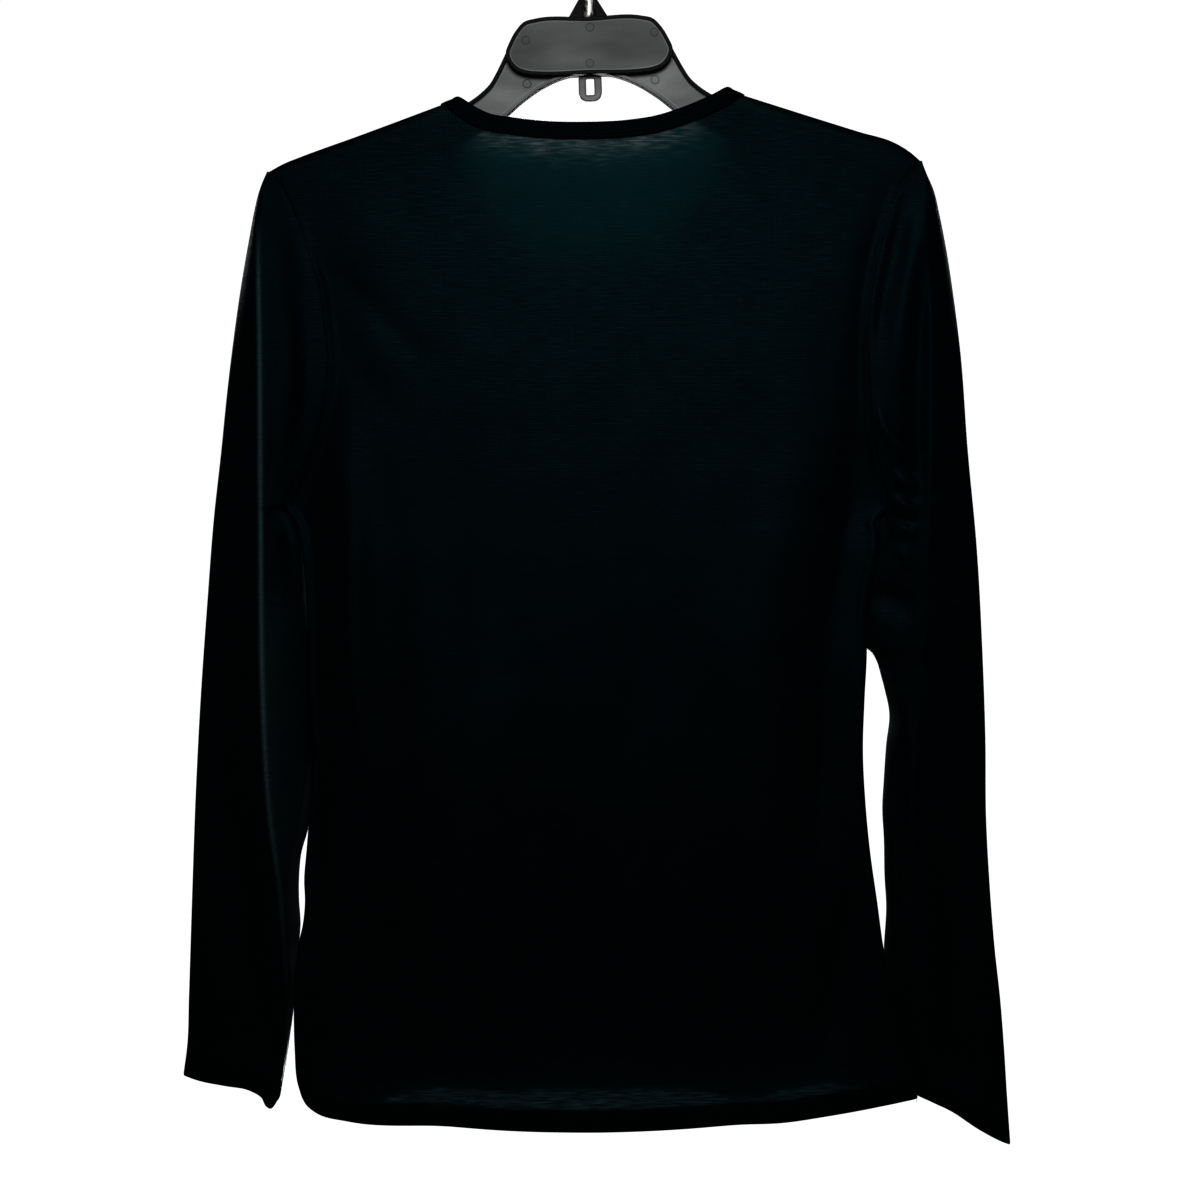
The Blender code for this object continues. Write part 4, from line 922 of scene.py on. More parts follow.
# %% The sleeves' cloth
def sleeve_sheet(side):
    """The grid of a sleeve, each point's place on the cloth, and the highlight painted there."""
    grid = np.array(armhole_rings(side, OUTER_LINES[side]) + lower_rings(side, OUTER_LINES[side]))
    middle = grid.mean(axis=1, keepdims=True)[..., 1]
    inwards = np.clip((middle - grid[..., 1]) / 4, -1, 1)
    rows, outer_column = len(grid), len(BACK_SHARES) - 1
    grid = turned_up(grid, inwards, CUFF_TURN)
    painted_highlight = np.zeros(grid.shape[:2])
    if side == "left":
        pressed = grid[:rows, :outer_column + 1]
        painted_highlight[:rows, :outer_column + 1] = painted_crease_highlight(pressed[..., 0], pressed[..., 2])
    across = np.linalg.norm(np.diff(grid, axis=1), axis=2).cumsum(axis=1)
    across = np.concatenate([np.zeros((len(grid), 1)), across], axis=1)
    across -= across[:, outer_column:outer_column + 1]
    down = np.linalg.norm(np.diff(grid[:, outer_column], axis=0), axis=1).cumsum()
    down = np.concatenate([[0], down])[:, None] * np.ones_like(across)
    return grid, np.stack([across, -down], axis=-1), painted_highlight


sleeve_cloth = {
    side: cloth_piece(f"sleeve_{side}_cloth", [sleeve_sheet(side)], f"sleeve_{side}")
    for side in BOTH_SIDES
}

# %% [markdown]
# ## Neck binding
# The neck is bound with a narrow folded strip of the same jersey. It goes up the outside, folds
# over at the top and comes down the inside, and the panel's edge is caught between the two. It
# is made as an open section of that shape, swept round the neck edge, and given a wall.

# %% Neck binding
BINDING_RISE = 9.3          # how far the binding stands above the panel's edge
BINDING_LAP = 1.7           # and how far it laps over the panel
BINDING_HALF = 0.95         # half its thickness, to the middle of the wall
BINDING_WALL = 0.6


def neck_edge():
    """The panels' neck edge as one closed loop: along the back, then round the front."""
    back = along(smooth_curve(BACK_NECK), np.linspace(0, 1, 84))
    front = along(FRONT_NECK[::-1], np.linspace(0, 1, 136))[1:-1]
    loop = []
    for panel, edge in (("back_panel", back), ("front_panel", front)):
        loop += [(x, y, z) for (x, z), y in zip(edge, body_y(panel, *edge.T))]
    return np.array(loop), len(back)


def circular_mean(values, passes):
    for _ in range(passes):
        values = (np.roll(values, 1, axis=0) + 2 * values + np.roll(values, -1, axis=0)) / 4
    return values


def binding_section():
    """(into the opening, outwards) along the folded strip, from the outer lower edge round."""
    rise = np.linspace(-BINDING_LAP, BINDING_RISE - BINDING_HALF, 12)
    crown = 0.28 * np.sin(math.pi * np.linspace(0, 1, 12))
    outside = [(a, BINDING_HALF + c) for a, c in zip(rise, crown)]
    turn = [(BINDING_RISE - BINDING_HALF + BINDING_HALF * math.sin(t), BINDING_HALF * math.cos(t))
            for t in np.radians((22, 45, 68, 90, 112, 135, 158))]
    inside = [(a, -BINDING_HALF - 0.5 * c) for a, c in zip(rise[::-1], crown)]
    return np.array(outside + turn + inside)


print("points across the strip:", len(binding_section()))


# %% Sweeping the strip round the neck
def binding_rings(loop, back_count):
    """The section at every point of the loop, square to it and level with the neck's opening."""
    tangent = unit(circular_mean(np.roll(loop, -1, axis=0) - np.roll(loop, 1, axis=0), 4))
    level = np.zeros_like(loop)
    runs = ((np.arange(back_count), 1), (np.append(np.arange(back_count - 1, len(loop)), 0), -1))
    for run, turn in runs:
        way = unit(np.gradient(loop[run][:, (0, 2)], axis=0))
        level[run, 0], level[run, 2] = -way[:, 1] * turn, way[:, 0] * turn
    inward = unit(circular_mean(level, 40))
    through = unit(np.cross(tangent, inward))
    inward = np.cross(through, tangent)
    inward *= np.sign((inward * level).sum(axis=1))[:, None]
    through = unit(np.cross(tangent, inward))
    into, outwards = [column[None, :, None] for column in binding_section().T]
    return loop[:, None] + inward[:, None] * into + through[:, None] * outwards


def make_binding():
    loop, back_count = neck_edge()
    rings = binding_rings(loop, back_count)
    closed = np.concatenate([rings, rings[:1]])
    run = lengths(np.concatenate([loop, loop[:1]]))
    over = lengths(binding_section())
    place = np.stack(np.broadcast_arrays(run[:, None], over[None, :]), axis=-1)
    bm = new_cloth_mesh()
    add_sheet(bm, closed, place, np.zeros(closed.shape[:2]))
    weld(bm)
    print(f"binding: {run[-1]:.0f} mm round the neck, strip {over[-1]:.1f} mm wide")
    strip = add_piece("neck_binding_cloth", bm, "binding", "neck_binding")
    return give_wall(strip, BINDING_WALL), run[-1]


binding_cloth, neck_length = make_binding()

# %% [markdown]
# ## Sewing
# The top is sewn with a coverstitch machine, which leaves two rows of short stitches on the
# outside. Each stitch is a small capsule of thread. A ray finds the cloth under it, so the rows
# follow every fold. The sleeves' rows lie on both sides of the seam.

# %% Stitch helpers
STITCH = 2.3                # length, thickness and spacing of a stitch, millimetres
THREAD = 0.42
STITCH_PITCH = 3.1
NEEDLE_GAP = 2.0            # each of the two rows lies this far from the seam
STITCH_RISE = 0.12          # how far a stitch's middle stands off the cloth
RAY_START = 0.2             # rays to the cloth start this many metres away from it
bpy.context.view_layer.update()
depsgraph = bpy.context.evaluated_depsgraph_get()


def tree_of(piece):
    """A search tree of the finished piece, which finds where a ray meets it."""
    return BVHTree.FromObject(piece, depsgraph)


sleeve_trees = [tree_of(sleeve_cloth[side]) for side in BOTH_SIDES]
body_trees = {
    "back": [tree_of(back_cloth), *sleeve_trees],
    "front": [tree_of(front_cloth), *sleeve_trees],
}


def on_cloth(trees, x, z, face):
    """The place and normal of the cloth nearest to the viewer of that face."""
    way = 1 if face == "back" else -1
    start = Vector((x * MM, -RAY_START * way, z * MM))
    hits = [tree.ray_cast(start, Vector((0, way, 0))) for tree in trees]
    hits = [hit for hit in hits if hit[0] is not None]
    return min(hits, key=lambda hit: hit[3])[:2] if hits else (None, None)


def stitch_at(start, end, normal, thickness):
    """The matrix that turns a unit sphere into a stitch between two points of the cloth."""
    way = end - start
    side = normal.cross(way).normalized()
    lift = way.cross(side).normalized()
    axes = [side * thickness / 2 * MM, lift * thickness / 2 * MM, way / 2]
    turn = Matrix([list(axis) + [0] for axis in axes] + [[0, 0, 0, 1]]).transposed()
    return Matrix.Translation((start + end) / 2 + normal * STITCH_RISE * MM) @ turn


print("a stitch covers", round(100 * STITCH / STITCH_PITCH), "% of its pitch")


# %% Thread
def thread_mesh(matrices):
    """Six-sided capsules of thread: one is doubled until there are enough, and each is placed."""
    bm = bmesh.new()
    bmesh.ops.create_uvsphere(bm, u_segments=6, v_segments=4, radius=1)
    shape = [vertex.co.copy() for vertex in bm.verts]
    number, corner = bm.verts.layers.int.new("number"), bm.verts.layers.int.new("corner")
    for i, vertex in enumerate(bm.verts):
        vertex[corner] = i
    count = 1
    while count < len(matrices):
        copied = bmesh.ops.duplicate(bm, geom=bm.verts[:] + bm.edges[:] + bm.faces[:])["geom"]
        for vertex in copied:
            if isinstance(vertex, bmesh.types.BMVert):
                vertex[number] += count
        count *= 2
    spare = [vertex for vertex in bm.verts if vertex[number] >= len(matrices)]
    bmesh.ops.delete(bm, geom=spare, context="VERTS")
    for vertex in bm.verts:
        vertex.co = matrices[vertex[number]] @ shape[vertex[corner]]
    for layer in ("number", "corner"):
        bm.verts.layers.int.remove(bm.verts.layers.int[layer])
    return bm


def sewn(trees, curve, face):
    """A row of stitches along an (x, z) curve. A stitch that would span a step is left out."""
    row = []
    total = lengths(curve)[-1]
    count = max(2, int(total / STITCH_PITCH))
    middle = (np.arange(count) + 0.5) / count
    half = STITCH / 2 / total
    for a, b in zip(along(curve, middle - half), along(curve, middle + half)):
        (start, up), (end, _) = on_cloth(trees, *a, face), on_cloth(trees, *b, face)
        if start and end and (end - start).length < 2.5 * STITCH * MM:
            row.append(stitch_at(start, end, up, THREAD))
    return row


def beside(curve, distance):
    """The curve moved squarely sideways, to the right of its direction when positive."""
    way = unit(np.gradient(curve, axis=0))
    return curve + np.stack([-way[:, 1], way[:, 0]], axis=1) * -distance


def trimmed(curve, start, end):
    """The curve without its first and last millimetres."""
    total = lengths(curve)[-1]
    return along(curve, np.linspace(start / total, 1 - end / total, 120))


sample = thread_mesh([Matrix.Identity(4)])
print("a stitch has", len(sample.faces), "faces")
sample.free()

# %% [markdown]
# ## The rows
# Each seam gets the rows that its machine sews: a pair on each side of the armholes, a pair above
# the hem and the cuffs, and a pair where the binding meets the panels. One end of thread is left.

# %% Rows of stitches
CUFF_HOOK = 30              # the left cuff's line turns back up over its last 30 points


def stitched(name, slot, runs):
    """A piece of thread from its rows: each has its trees, curve, face, and how much of the
    curve's two ends it leaves bare."""
    rows = []
    for trees, curve, face, bare in runs:
        rows += sewn(trees, trimmed(curve, *bare), face)
    return add_piece(name, thread_mesh(rows), slot)


def armhole_stitches(side):
    return stitched(f"armhole_{side}_stitches", "jersey", [
        (body_trees[face], beside(ARMHOLES[face + "_panel", side], gap), face, (4, 5))
        for face in FACES for gap in (-NEEDLE_GAP, NEEDLE_GAP)])


def turn_stitches(name, edges, turn, bare):
    """The two rows that hold a turned hem or cuff, at the inner layer's raw edge."""
    return stitched(name, "jersey", [
        (body_trees[face], edge + (0, turn + rise), face, bare)
        for face, edge in zip(FACES, edges) for rise in (-2.0, 0.6)])


def neck_stitches():
    edges = zip(FACES, (smooth_curve(BACK_NECK), FRONT_NECK))
    return stitched("neck_stitches", "binding", [
        ([tree_of(binding_cloth)], beside(edge, -rise), face, (5, 5))
        for face, edge in edges for rise in (0.3, 2.6)])


def loose_thread():
    """The sewer's thread end, left hanging at the right cuff's inner corner."""
    bends = [(0, 0.3, 0), (0.2, -0.3, -1.5), (0.6, -0.6, -3), (0.5, -0.6, -4.6), (-0.1, -0.4, -6)]
    start = on_cloth(body_trees["back"], 208.6, -751.5, "back")[0]
    line = [start + Vector(bend) * MM for bend in bends]
    viewer = Vector((0, -1, 0))
    row = [stitch_at(a, b + (b - a) * 0.15, viewer, THREAD) for a, b in zip(line, line[1:])]
    return add_piece("loose_thread_end", thread_mesh(row), "jersey")


cuffs = {side: smooth_curve(SLEEVE_LINES[side, "cuff"]) for side in BOTH_SIDES}
cuffs["left"] = cuffs["left"][:-CUFF_HOOK]
hems = smooth_curve(BACK_HEM), smooth_curve(FRONT_HEM)
stitches = {f"armhole_{side}": armhole_stitches(side) for side in BOTH_SIDES}
for side, cuff in cuffs.items():
    name = f"cuff_{side}"
    stitches[name] = turn_stitches(name + "_stitches", (cuff, cuff), CUFF_TURN, (5, 8))
stitches["hem"] = turn_stitches("hem_stitches", hems, HEM_TURN, (7, 7))
stitches["neck"] = neck_stitches()
thread_end = loose_thread()

# %% [markdown]
# ## The hanger
# A shop hanger is moulded in one shot of black polystyrene: a thin web with a rim all round it,
# an arch under the middle, a raised pad on each face and a small slotted loop. Each part is
# drawn as an outline, extruded, and sunk inside its rim. A live bevel rounds every edge.

# %% Outlines of the hanger
FRAME_TOP = points(
    (0, -67), (36, -67), (46, -73), (53, -86), (57, -94), (60.5, -100.5), (64, -106),
    (68.5, -110.5), (74, -114.7), (80, -118.3), (88, -121.5), (98, -124), (140, -136.5),
    (184, -151.5),
)
FRAME_TIP = points((189, -155.5), (190.5, -161), (188, -167), (181, -170.5))
FRAME_UNDER = points(
    (155, -166), (120, -157.5), (90, -148), (70, -138.5), (55, -127.5), (43, -117.5), (30, -109),
    (15, -103), (0, -101),
)
PLATE_OUTLINE = points(
    (0, -65.7), (34, -65.7), (41, -67.5), (46, -72.5), (51, -81), (53.3, -87), (52, -92.5),
    (47.5, -98), (40, -101), (33, -101.8), (0, -101.8),
)
TAB_OUTLINE = points(
    (0, -118.4), (3.6, -118.2), (6.2, -116.4), (7.4, -113.4), (7.4, -103.2), (0, -101.3),
)
TAB_SLOT = points((0, -114.6), (2.6, -114.6), (2.6, -104), (0, -104))


def mirrored(right_half, spacing):
    """A closed outline from its right half, with its points evenly spaced."""
    count = round(lengths(right_half)[-1] / spacing)
    right = along(right_half, np.linspace(0, 1, count + 1))
    return np.vstack([right, right[-2:0:-1] * (-1, 1)])


for name, outline in (("arms", FRAME_TIP), ("pad", PLATE_OUTLINE)):
    print(name, "mm wide:", 2 * max(row.x for row in outline))

# %% [markdown]
# ## Moulding tools
# A moulding is a flat outline given thickness, with its broad faces sunk so that a rim is left.
# Extrude and inset do this on any outline. Each vertex is marked with how grey its surface is
# painted: the grey on the fields is a painted reflection, and the rims keep the plastic's black.

# %% Mouldings
HANGER_TILT = 1.7           # degrees
TILT_CENTRE_Z = -84.0
PIN_DEPTH = 0.9             # a pin mark's disc, most of it inside the wall
BEVEL_ANGLE = 35            # edges that bend by more than this are rounded


def slab(bm, outline, near, far):
    """A straight prism on an (x, z) outline. Returns its two end faces."""
    ring = bmesh.ops.create_circle(bm, cap_ends=True, segments=len(outline), radius=1)["verts"]
    for vertex, (x, z) in zip(ring, outline):
        vertex.co = (x * MM, near * MM, z * MM)
    face = ring[0].link_faces[0]
    grown = bmesh.ops.extrude_face_region(bm, geom=[face], use_keep_orig=True)["geom"]
    moved = [item for item in grown if isinstance(item, bmesh.types.BMVert)]
    bmesh.ops.translate(bm, verts=moved, vec=(0, (far - near) * MM, 0))
    end = [item for item in grown if isinstance(item, bmesh.types.BMFace)][0]
    bmesh.ops.recalc_face_normals(bm, faces=bm.faces)
    return face, end


def inset(bm, face, width, depth=0.0):
    """Draws the face in by the width. Its new rim runs round it."""
    bmesh.ops.inset_individual(bm, faces=[face], thickness=width * MM, depth=depth * MM,
                               use_even_offset=True)


def sink(bm, faces, rim, depth, tone, draft, line):
    """Sinks each face inside a rim and marks it with its tone of painted reflection, with a paler
    line round it, a painted highlight.
    """
    painted_reflection = bm.verts.layers.float["painted_reflection"]
    for face in faces:
        inset(bm, face, rim)
        inset(bm, face, draft, -depth)
        # the face's edge, at the foot of the draft, is painted paler: a painted highlight
        for vertex in face.verts:
            vertex[painted_reflection] = 2.2 * tone
        inset(bm, face, line)
        for vertex in face.verts:
            vertex[painted_reflection] = tone


def tilt():
    pivot = Matrix.Translation((0, 0, TILT_CENTRE_Z * MM))
    return pivot @ Matrix.Rotation(math.radians(-HANGER_TILT), 4, "Y") @ pivot.inverted()


def pin_marks(bm, places, surface, side, tone):
    """The round marks that a mould's ejector pins leave: a dark ring round a low disc."""
    painted_reflection = bm.verts.layers.float["painted_reflection"]
    for x, z in places:
        for radius, rise, share in ((3.0, 0.11, 0.4), (2.58, 0.15, 0.93)):
            centre = Vector((x, surface + side * (rise - PIN_DEPTH / 2), z)) * MM
            disc = bmesh.ops.create_cone(
                bm, cap_ends=True, segments=24, radius1=radius * MM, radius2=radius * MM,
                depth=PIN_DEPTH * MM,
                matrix=Matrix.Translation(centre) @ Matrix.Rotation(math.pi / 2, 4, "X"))
            for vertex in disc["verts"]:
                vertex[painted_reflection] = share * tone


def moulded(name, bm, width, *stands_for):
    bmesh.ops.recalc_face_normals(bm, faces=bm.faces)
    piece = add_piece(name, bm, "hanger_plastic", *stands_for)
    edge = piece.modifiers.new("edge", "BEVEL")
    edge.width = width * MM
    edge.segments = 2
    edge.limit_method = "ANGLE"
    edge.angle_limit = math.radians(BEVEL_ANGLE)
    edge.harden_normals = True
    return piece


def new_moulding():
    bm = bmesh.new()
    bm.verts.layers.float.new("painted_reflection")
    return bm


print("mouldings are rounded where they bend by more than", BEVEL_ANGLE, "degrees")

# %% [markdown]
# ## The hanger's pieces
# The arms, a pad on each face and the slotted loop are made separately, as their solids are, and
# tilted together, because the hanger hangs a little out of level. Ejector pins leave round marks.

# %% Hanger pieces
ARM_DEPTH = 9.5             # millimetres, as all sizes here
# insets that bound the painted highlight along the arch's rim
ARCH_HIGHLIGHT_BANDS = (0.55, 0.75)
RIM_INSIDE = 0.9            # the last part of the rim, inside the painted highlight bands
WEB_RECESS = 3.5            # the web is this far below the rim on each face
PLATE_GAP = 0.3
PLATE_THICK = 3.0
PLATE_RECESS = 0.7
TAB_THICK = 4.0
ARCH_HIGHLIGHT_TONE, PLATE_TONE, WEB_TONE = 0.7, 0.5, 0.8      # how grey each surface is painted: a painted highlight on the arch's rim, a painted reflection on pad and web; 0 is black


def paint_arch_highlight(bm, faces):
    """A painted highlight: a greyer line along the middle of the arch's rim."""
    painted_reflection, arch = bm.verts.layers.float["painted_reflection"], smooth_curve(FRAME_UNDER)[::-1]
    for face in faces:
        highlit = []
        for width in ARCH_HIGHLIGHT_BANDS:
            inset(bm, face, width)
            highlit += face.verts
        for vertex in highlit:
            x, z = abs(vertex.co.x / MM), vertex.co.z / MM
            if x < 90 and z < np.interp(x, *arch.T) + 5:
                vertex[painted_reflection] = ARCH_HIGHLIGHT_TONE


def make_frame():
    top, under = smooth_curve(FRAME_TOP[1:]), smooth_curve(FRAME_UNDER)
    right = np.vstack([FRAME_TOP[:1], top, FRAME_TIP, under])
    bm = new_moulding()
    faces = slab(bm, mirrored(right, 2.2), -ARM_DEPTH / 2, ARM_DEPTH / 2)
    paint_arch_highlight(bm, faces)
    sink(bm, faces, RIM_INSIDE, WEB_RECESS, WEB_TONE, draft=0.3, line=0.9)
    bmesh.ops.transform(bm, matrix=tilt(), verts=bm.verts)
    web = WEB_RECESS - ARM_DEPTH / 2 - 0.05
    pin_marks(bm, [(-39.7, -107.3), (42.2, -104.7)], web, -1, WEB_TONE)
    return moulded("hanger_arms", bm, 0.35, "hanger_frame")


def make_plate(name, side, node):
    """A raised pad on one face of the hanger, sunk inside a rim."""
    near = side * (ARM_DEPTH / 2 + PLATE_GAP)
    far = near + side * PLATE_THICK
    bm = new_moulding()
    outer_face = slab(bm, mirrored(smooth_curve(PLATE_OUTLINE), 2.0), near, far)[1]
    inset(bm, outer_face, 1.3)
    sink(bm, [outer_face], 0.9, PLATE_RECESS, PLATE_TONE, draft=0.45, line=0.7)
    bmesh.ops.transform(bm, matrix=tilt(), verts=bm.verts)
    pins = [(-40.3, -80.4), (41.6, -75.3), (0.6, -72.1), (0.6, -95.1)]
    pin_marks(bm, pins, far - side * (PLATE_RECESS + 0.05), side, PLATE_TONE)
    return moulded(name, bm, 0.35, node)


def make_tab():
    """The slotted loop under the arch: rings of points, joined into one hollow form with rims."""
    outlines = mirrored(np.array(TAB_OUTLINE), 1.0), mirrored(np.array(TAB_SLOT), 0.6)
    outer, slot = [along(np.vstack([row, row[:1]]), np.linspace(0, 1, 49)) for row in outlines]
    near_rim, near_slot = outer * 0.8 + slot * 0.2, outer * 0.25 + slot * 0.75
    # tones of painted reflection: grey on the two faces, nearly black at the outer edge and the
    # slot
    face = [(outer, 0, 0), (near_rim, 0.3, WEB_TONE), (near_slot, 0.3, WEB_TONE), (slot, 0, 0.1)]
    rings = [(*ring, 1) for ring in face] + [(*ring, -1) for ring in face[::-1]] + [(*face[0], 1)]
    grid = np.array([[(x, way * (TAB_THICK / 2 - sunk), z) for x, z in ring]
                     for ring, sunk, _, way in rings])
    bm = new_moulding()
    painted_reflection = bm.verts.layers.float["painted_reflection"]
    tones = np.repeat([tone for _, _, tone, _ in rings], len(outer))
    for vertex, tone in zip(add_grid(bm, grid), tones):
        vertex[painted_reflection] = tone
    weld(bm)
    bmesh.ops.transform(bm, matrix=tilt(), verts=bm.verts)
    return moulded("hanger_loop", bm, 0.3, "hanger_tab")


hanger = [
    make_frame(),
    make_plate("hanger_pad_back", -1, "hanger_plate_back"),
    make_plate("hanger_pad_front", 1, "hanger_plate_front"),
    make_tab(),
]

# %% [markdown]
# ## The hook
# The hook is one bent wire with a thicker foot that is moulded into the hanger. The wire is
# zinc plated, and its foot is scraped where the mould has gripped it.

# %% Hook
HOOK_WIRE = 5.0
HOOK_BEND = 20.0            # radius of the hook's centre line
SHANK = 7.5
HookStep = namedtuple("HookStep", "x z width")
HOOK_FOOT = [HookStep(0, z, SHANK) for z in (-66.6, -63, -60, -56, -53.6)]
HOOK_FOOT += [HookStep(0, -52.6, 6.8), HookStep(0, -51.6, 5.6), HookStep(0, -50.5, HOOK_WIRE)]
HOOK_FOOT += [HookStep(x, z, HOOK_WIRE) for x, z in
              ((1.2, -46.5), (4.6, -42), (9, -37.7), (12.6, -33.8))]


def hook_route():
    route = list(HOOK_FOOT)
    centre = HOOK_WIRE / 2 - HOOK_BEND
    for angle in np.radians(np.linspace(-42, 196, 60)):
        x, z = HOOK_BEND * math.cos(angle), centre + HOOK_BEND * math.sin(angle)
        route.append(HookStep(x, z, HOOK_WIRE))
    return np.array(route)


def make_hook(around=20):
    """A round wire along the route, shut at both ends."""
    x, z, width = hook_route().T
    way_x, way_z = unit(np.gradient(np.stack([x, z], axis=1), axis=0)).T
    flat = np.zeros(len(x))
    across, centre = np.stack([-way_z, flat, way_x], axis=1), np.stack([x, flat, z], axis=1)
    ring = np.linspace(0, 2 * math.pi, around + 1)[None, :, None]
    round_it = across[:, None] * np.cos(ring) + np.array((0, 1, 0)) * np.sin(ring)
    grid = centre[:, None] + width[:, None, None] / 2 * round_it
    caps = [np.repeat(end.mean(axis=1, keepdims=True), around + 1, axis=1)
            for end in (grid[:1], grid[-1:])]
    bm = bmesh.new()
    add_grid(bm, np.concatenate([caps[0], grid, caps[1]]))
    weld(bm)
    return add_piece("hook_wire", bm, "hook_metal", "hanger_hook")


hook = make_hook()

# %% [markdown]
# ## Materials
# Three real materials: black jersey, black polystyrene and zinc-plated steel. The jersey is so
# thin that light from behind comes through a single layer, which is why the front's neckline
# shows through the back.

# %% Material helpers
def linear(code):
    """A linear colour from an sRGB hex code."""
    colour = []
    for i in (1, 3, 5):
        c = int(code[i:i + 2], 16) / 255
        colour.append(c / 12.92 if c <= 0.04045 else ((c + 0.055) / 1.055) ** 2.4)
    return (*colour, 1)


def per_mm(*sizes):
    """The factors that make a pattern repeat over the given millimetres in x, y and z."""
    return [1 / (size * MM) for size in sizes]


def feed(made, inputs):
    """Gives a node's inputs their numbers, colours or links. A list feeds them in their order."""
    pairs = inputs.items() if isinstance(inputs, dict) else enumerate(inputs)
    for key, value in pairs:
        if isinstance(value, bpy.types.NodeSocket):
            made.id_data.links.new(value, made.inputs[key])
        else:
            made.inputs[key].default_value = value


def node(made, kind, inputs=(), out=0, **settings):
    """Adds a node to the material with its settings and links. Returns one of its outputs."""
    fresh = made.node_tree.nodes.new("ShaderNode" + kind)
    for key, value in settings.items():
        setattr(fresh, key, value)
    feed(fresh, inputs)
    return fresh.outputs[out]


def new_material(name):
    """A material, its node-adding function and its shader."""
    made = bpy.data.materials.new(name)
    made.use_nodes = True
    return made, partial(node, made), made.node_tree.nodes["Principled BSDF"]


print("mid grey #808080 is", round(linear("#808080")[0], 3), "as a linear value")

# %% [markdown]
# ## Black jersey
# Knitted polyester jersey, dyed black. Its face is rows of loops, so it has faint ribs, and slubs
# that run along the rows. It hardly shows a colour of its own: the eye sees its cool, dull shine
# on the slopes that face the light. A part of the light goes through, so two layers look darker
# than one. Along the pressed crease and beside it, a paler colour is a painted highlight.

# %% Black jersey
WALE = 1.5                  # a rib of the knit. Real ones are half this, too fine to draw
COURSE = 1.3
SHEER = 0.12                # share of light that goes through each face of the cloth's wall
CREASE_HIGHLIGHT_COLOUR = linear("#4a5c60")             # a painted highlight on the pressed crease
SPECULAR_TEAL = linear("#52bccd")       # the dye's cool shine
PAINTED_GLOW_TINT = linear("#e6eeee")          # paler tint of the light painted through below the neck and above the hem


def jersey(name, dark, light, through, sheer, gloss):
    """Fine jersey: near-black teal yarn in two shades, faint ribs, a little see-through, and
    painted light.
    """
    made, add, shader = new_material(name)
    place = add("Attribute", out="Vector", attribute_name="place")
    highlight_share, painted_glow = [add("Attribute", out="Fac", attribute_name=key) for key in ("painted_highlight", "painted_glow")]
    along_rows = add("VectorMath", [place, per_mm(13, 1, 1)], operation="MULTIPLY")
    streaks = add("TexNoise", {"Vector": along_rows, "Scale": 1, "Detail": 3})      # slubs
    patches = add("VectorMath", [place, per_mm(34, 42, 1)], operation="MULTIPLY")
    mottle = add("TexNoise", {"Vector": patches, "Scale": 1, "Detail": 2})
    yarn = add("Mix", {"Factor": 0.4, "A": streaks, "B": mottle})
    shade = add("MapRange", [yarn, 0.38, 0.62])
    yarns = add("Mix", {0: shade, 6: linear(dark), 7: linear(light)}, 2, data_type="RGBA")
    patchy = add("MapRange", [streaks, 0.3, 0.7, 0.7, 1.2])
    # the pressed crease's painted highlight, patchy along the slubs
    crease_highlight = add("Math", [highlight_share, patchy], operation="MULTIPLY")
    waves = []
    for run, spacing in zip(add("SeparateXYZ", [place]).node.outputs, (WALE, COURSE)):
        turns = add("Math", [run, math.pi / (spacing * MM)], operation="MULTIPLY")
        waves.append(add("Math", [add("Math", [turns], operation="SINE")], operation="ABSOLUTE"))
    loops = add("Math", waves, operation="MULTIPLY")
    height = add("Math", [streaks, 1.2, loops], operation="MULTIPLY_ADD")
    bump = add("Bump", {"Strength": 0.5, "Distance": 0.14 * MM, "Height": height})
    feed(shader, {
        "Base Color": add("Mix", {0: crease_highlight, 6: yarns, 7: CREASE_HIGHLIGHT_COLOUR}, 2, data_type="RGBA"),
        "Roughness": add("MapRange", [streaks, 0.35, 0.65, 0.52, 0.7]),
        "IOR": 1.5, "Specular IOR Level": gloss, "Specular Tint": SPECULAR_TEAL, "Normal": bump,
    })
    # Painted light: where the painted glow is marked, more light goes through, and it is paler.
    threadbare = add("MapRange", [streaks, 0.35, 0.65, 0.4, 1.6])
    glow_share = add("Math", [painted_glow, threadbare], operation="MULTIPLY")
    tint = add("Mix", {0: glow_share, 6: linear(through), 7: PAINTED_GLOW_TINT}, 2, data_type="RGBA")
    density = add("MapRange", [streaks, 0.3, 0.7, 0.7, 1.1])
    passed = add("VectorMath", {0: tint, "Scale": density}, operation="SCALE")
    glow = add("BsdfTranslucent", {"Color": passed, "Normal": bump})
    open_knit = add("Math", [glow_share, 1.2 * sheer, sheer], operation="MULTIPLY_ADD")
    surface = add("MixShader", [open_knit, shader.outputs[0], glow])
    feed(made.node_tree.nodes["Material Output"], {"Surface": surface})
    print(name, "has", len(made.node_tree.nodes), "nodes")
    return made


black_jersey = jersey("black_jersey", "#010304", "#070e11", "#8fd8e2", SHEER, 0.25)
black_binding = jersey("black_jersey_binding", "#010203", "#020405", "#6aa6b0", 0.03, 0.08)
for piece in (back_cloth, front_cloth, *sleeve_cloth.values()):
    piece.data.materials.append(black_jersey)
binding_cloth.data.materials.append(black_binding)


# %% [markdown]
# ## Sewing thread
# Spun polyester thread, dyed to match the cloth. It catches the light a little more than the
# knit, so the rows show as fine dotted lines. The loose end is grey with lint.

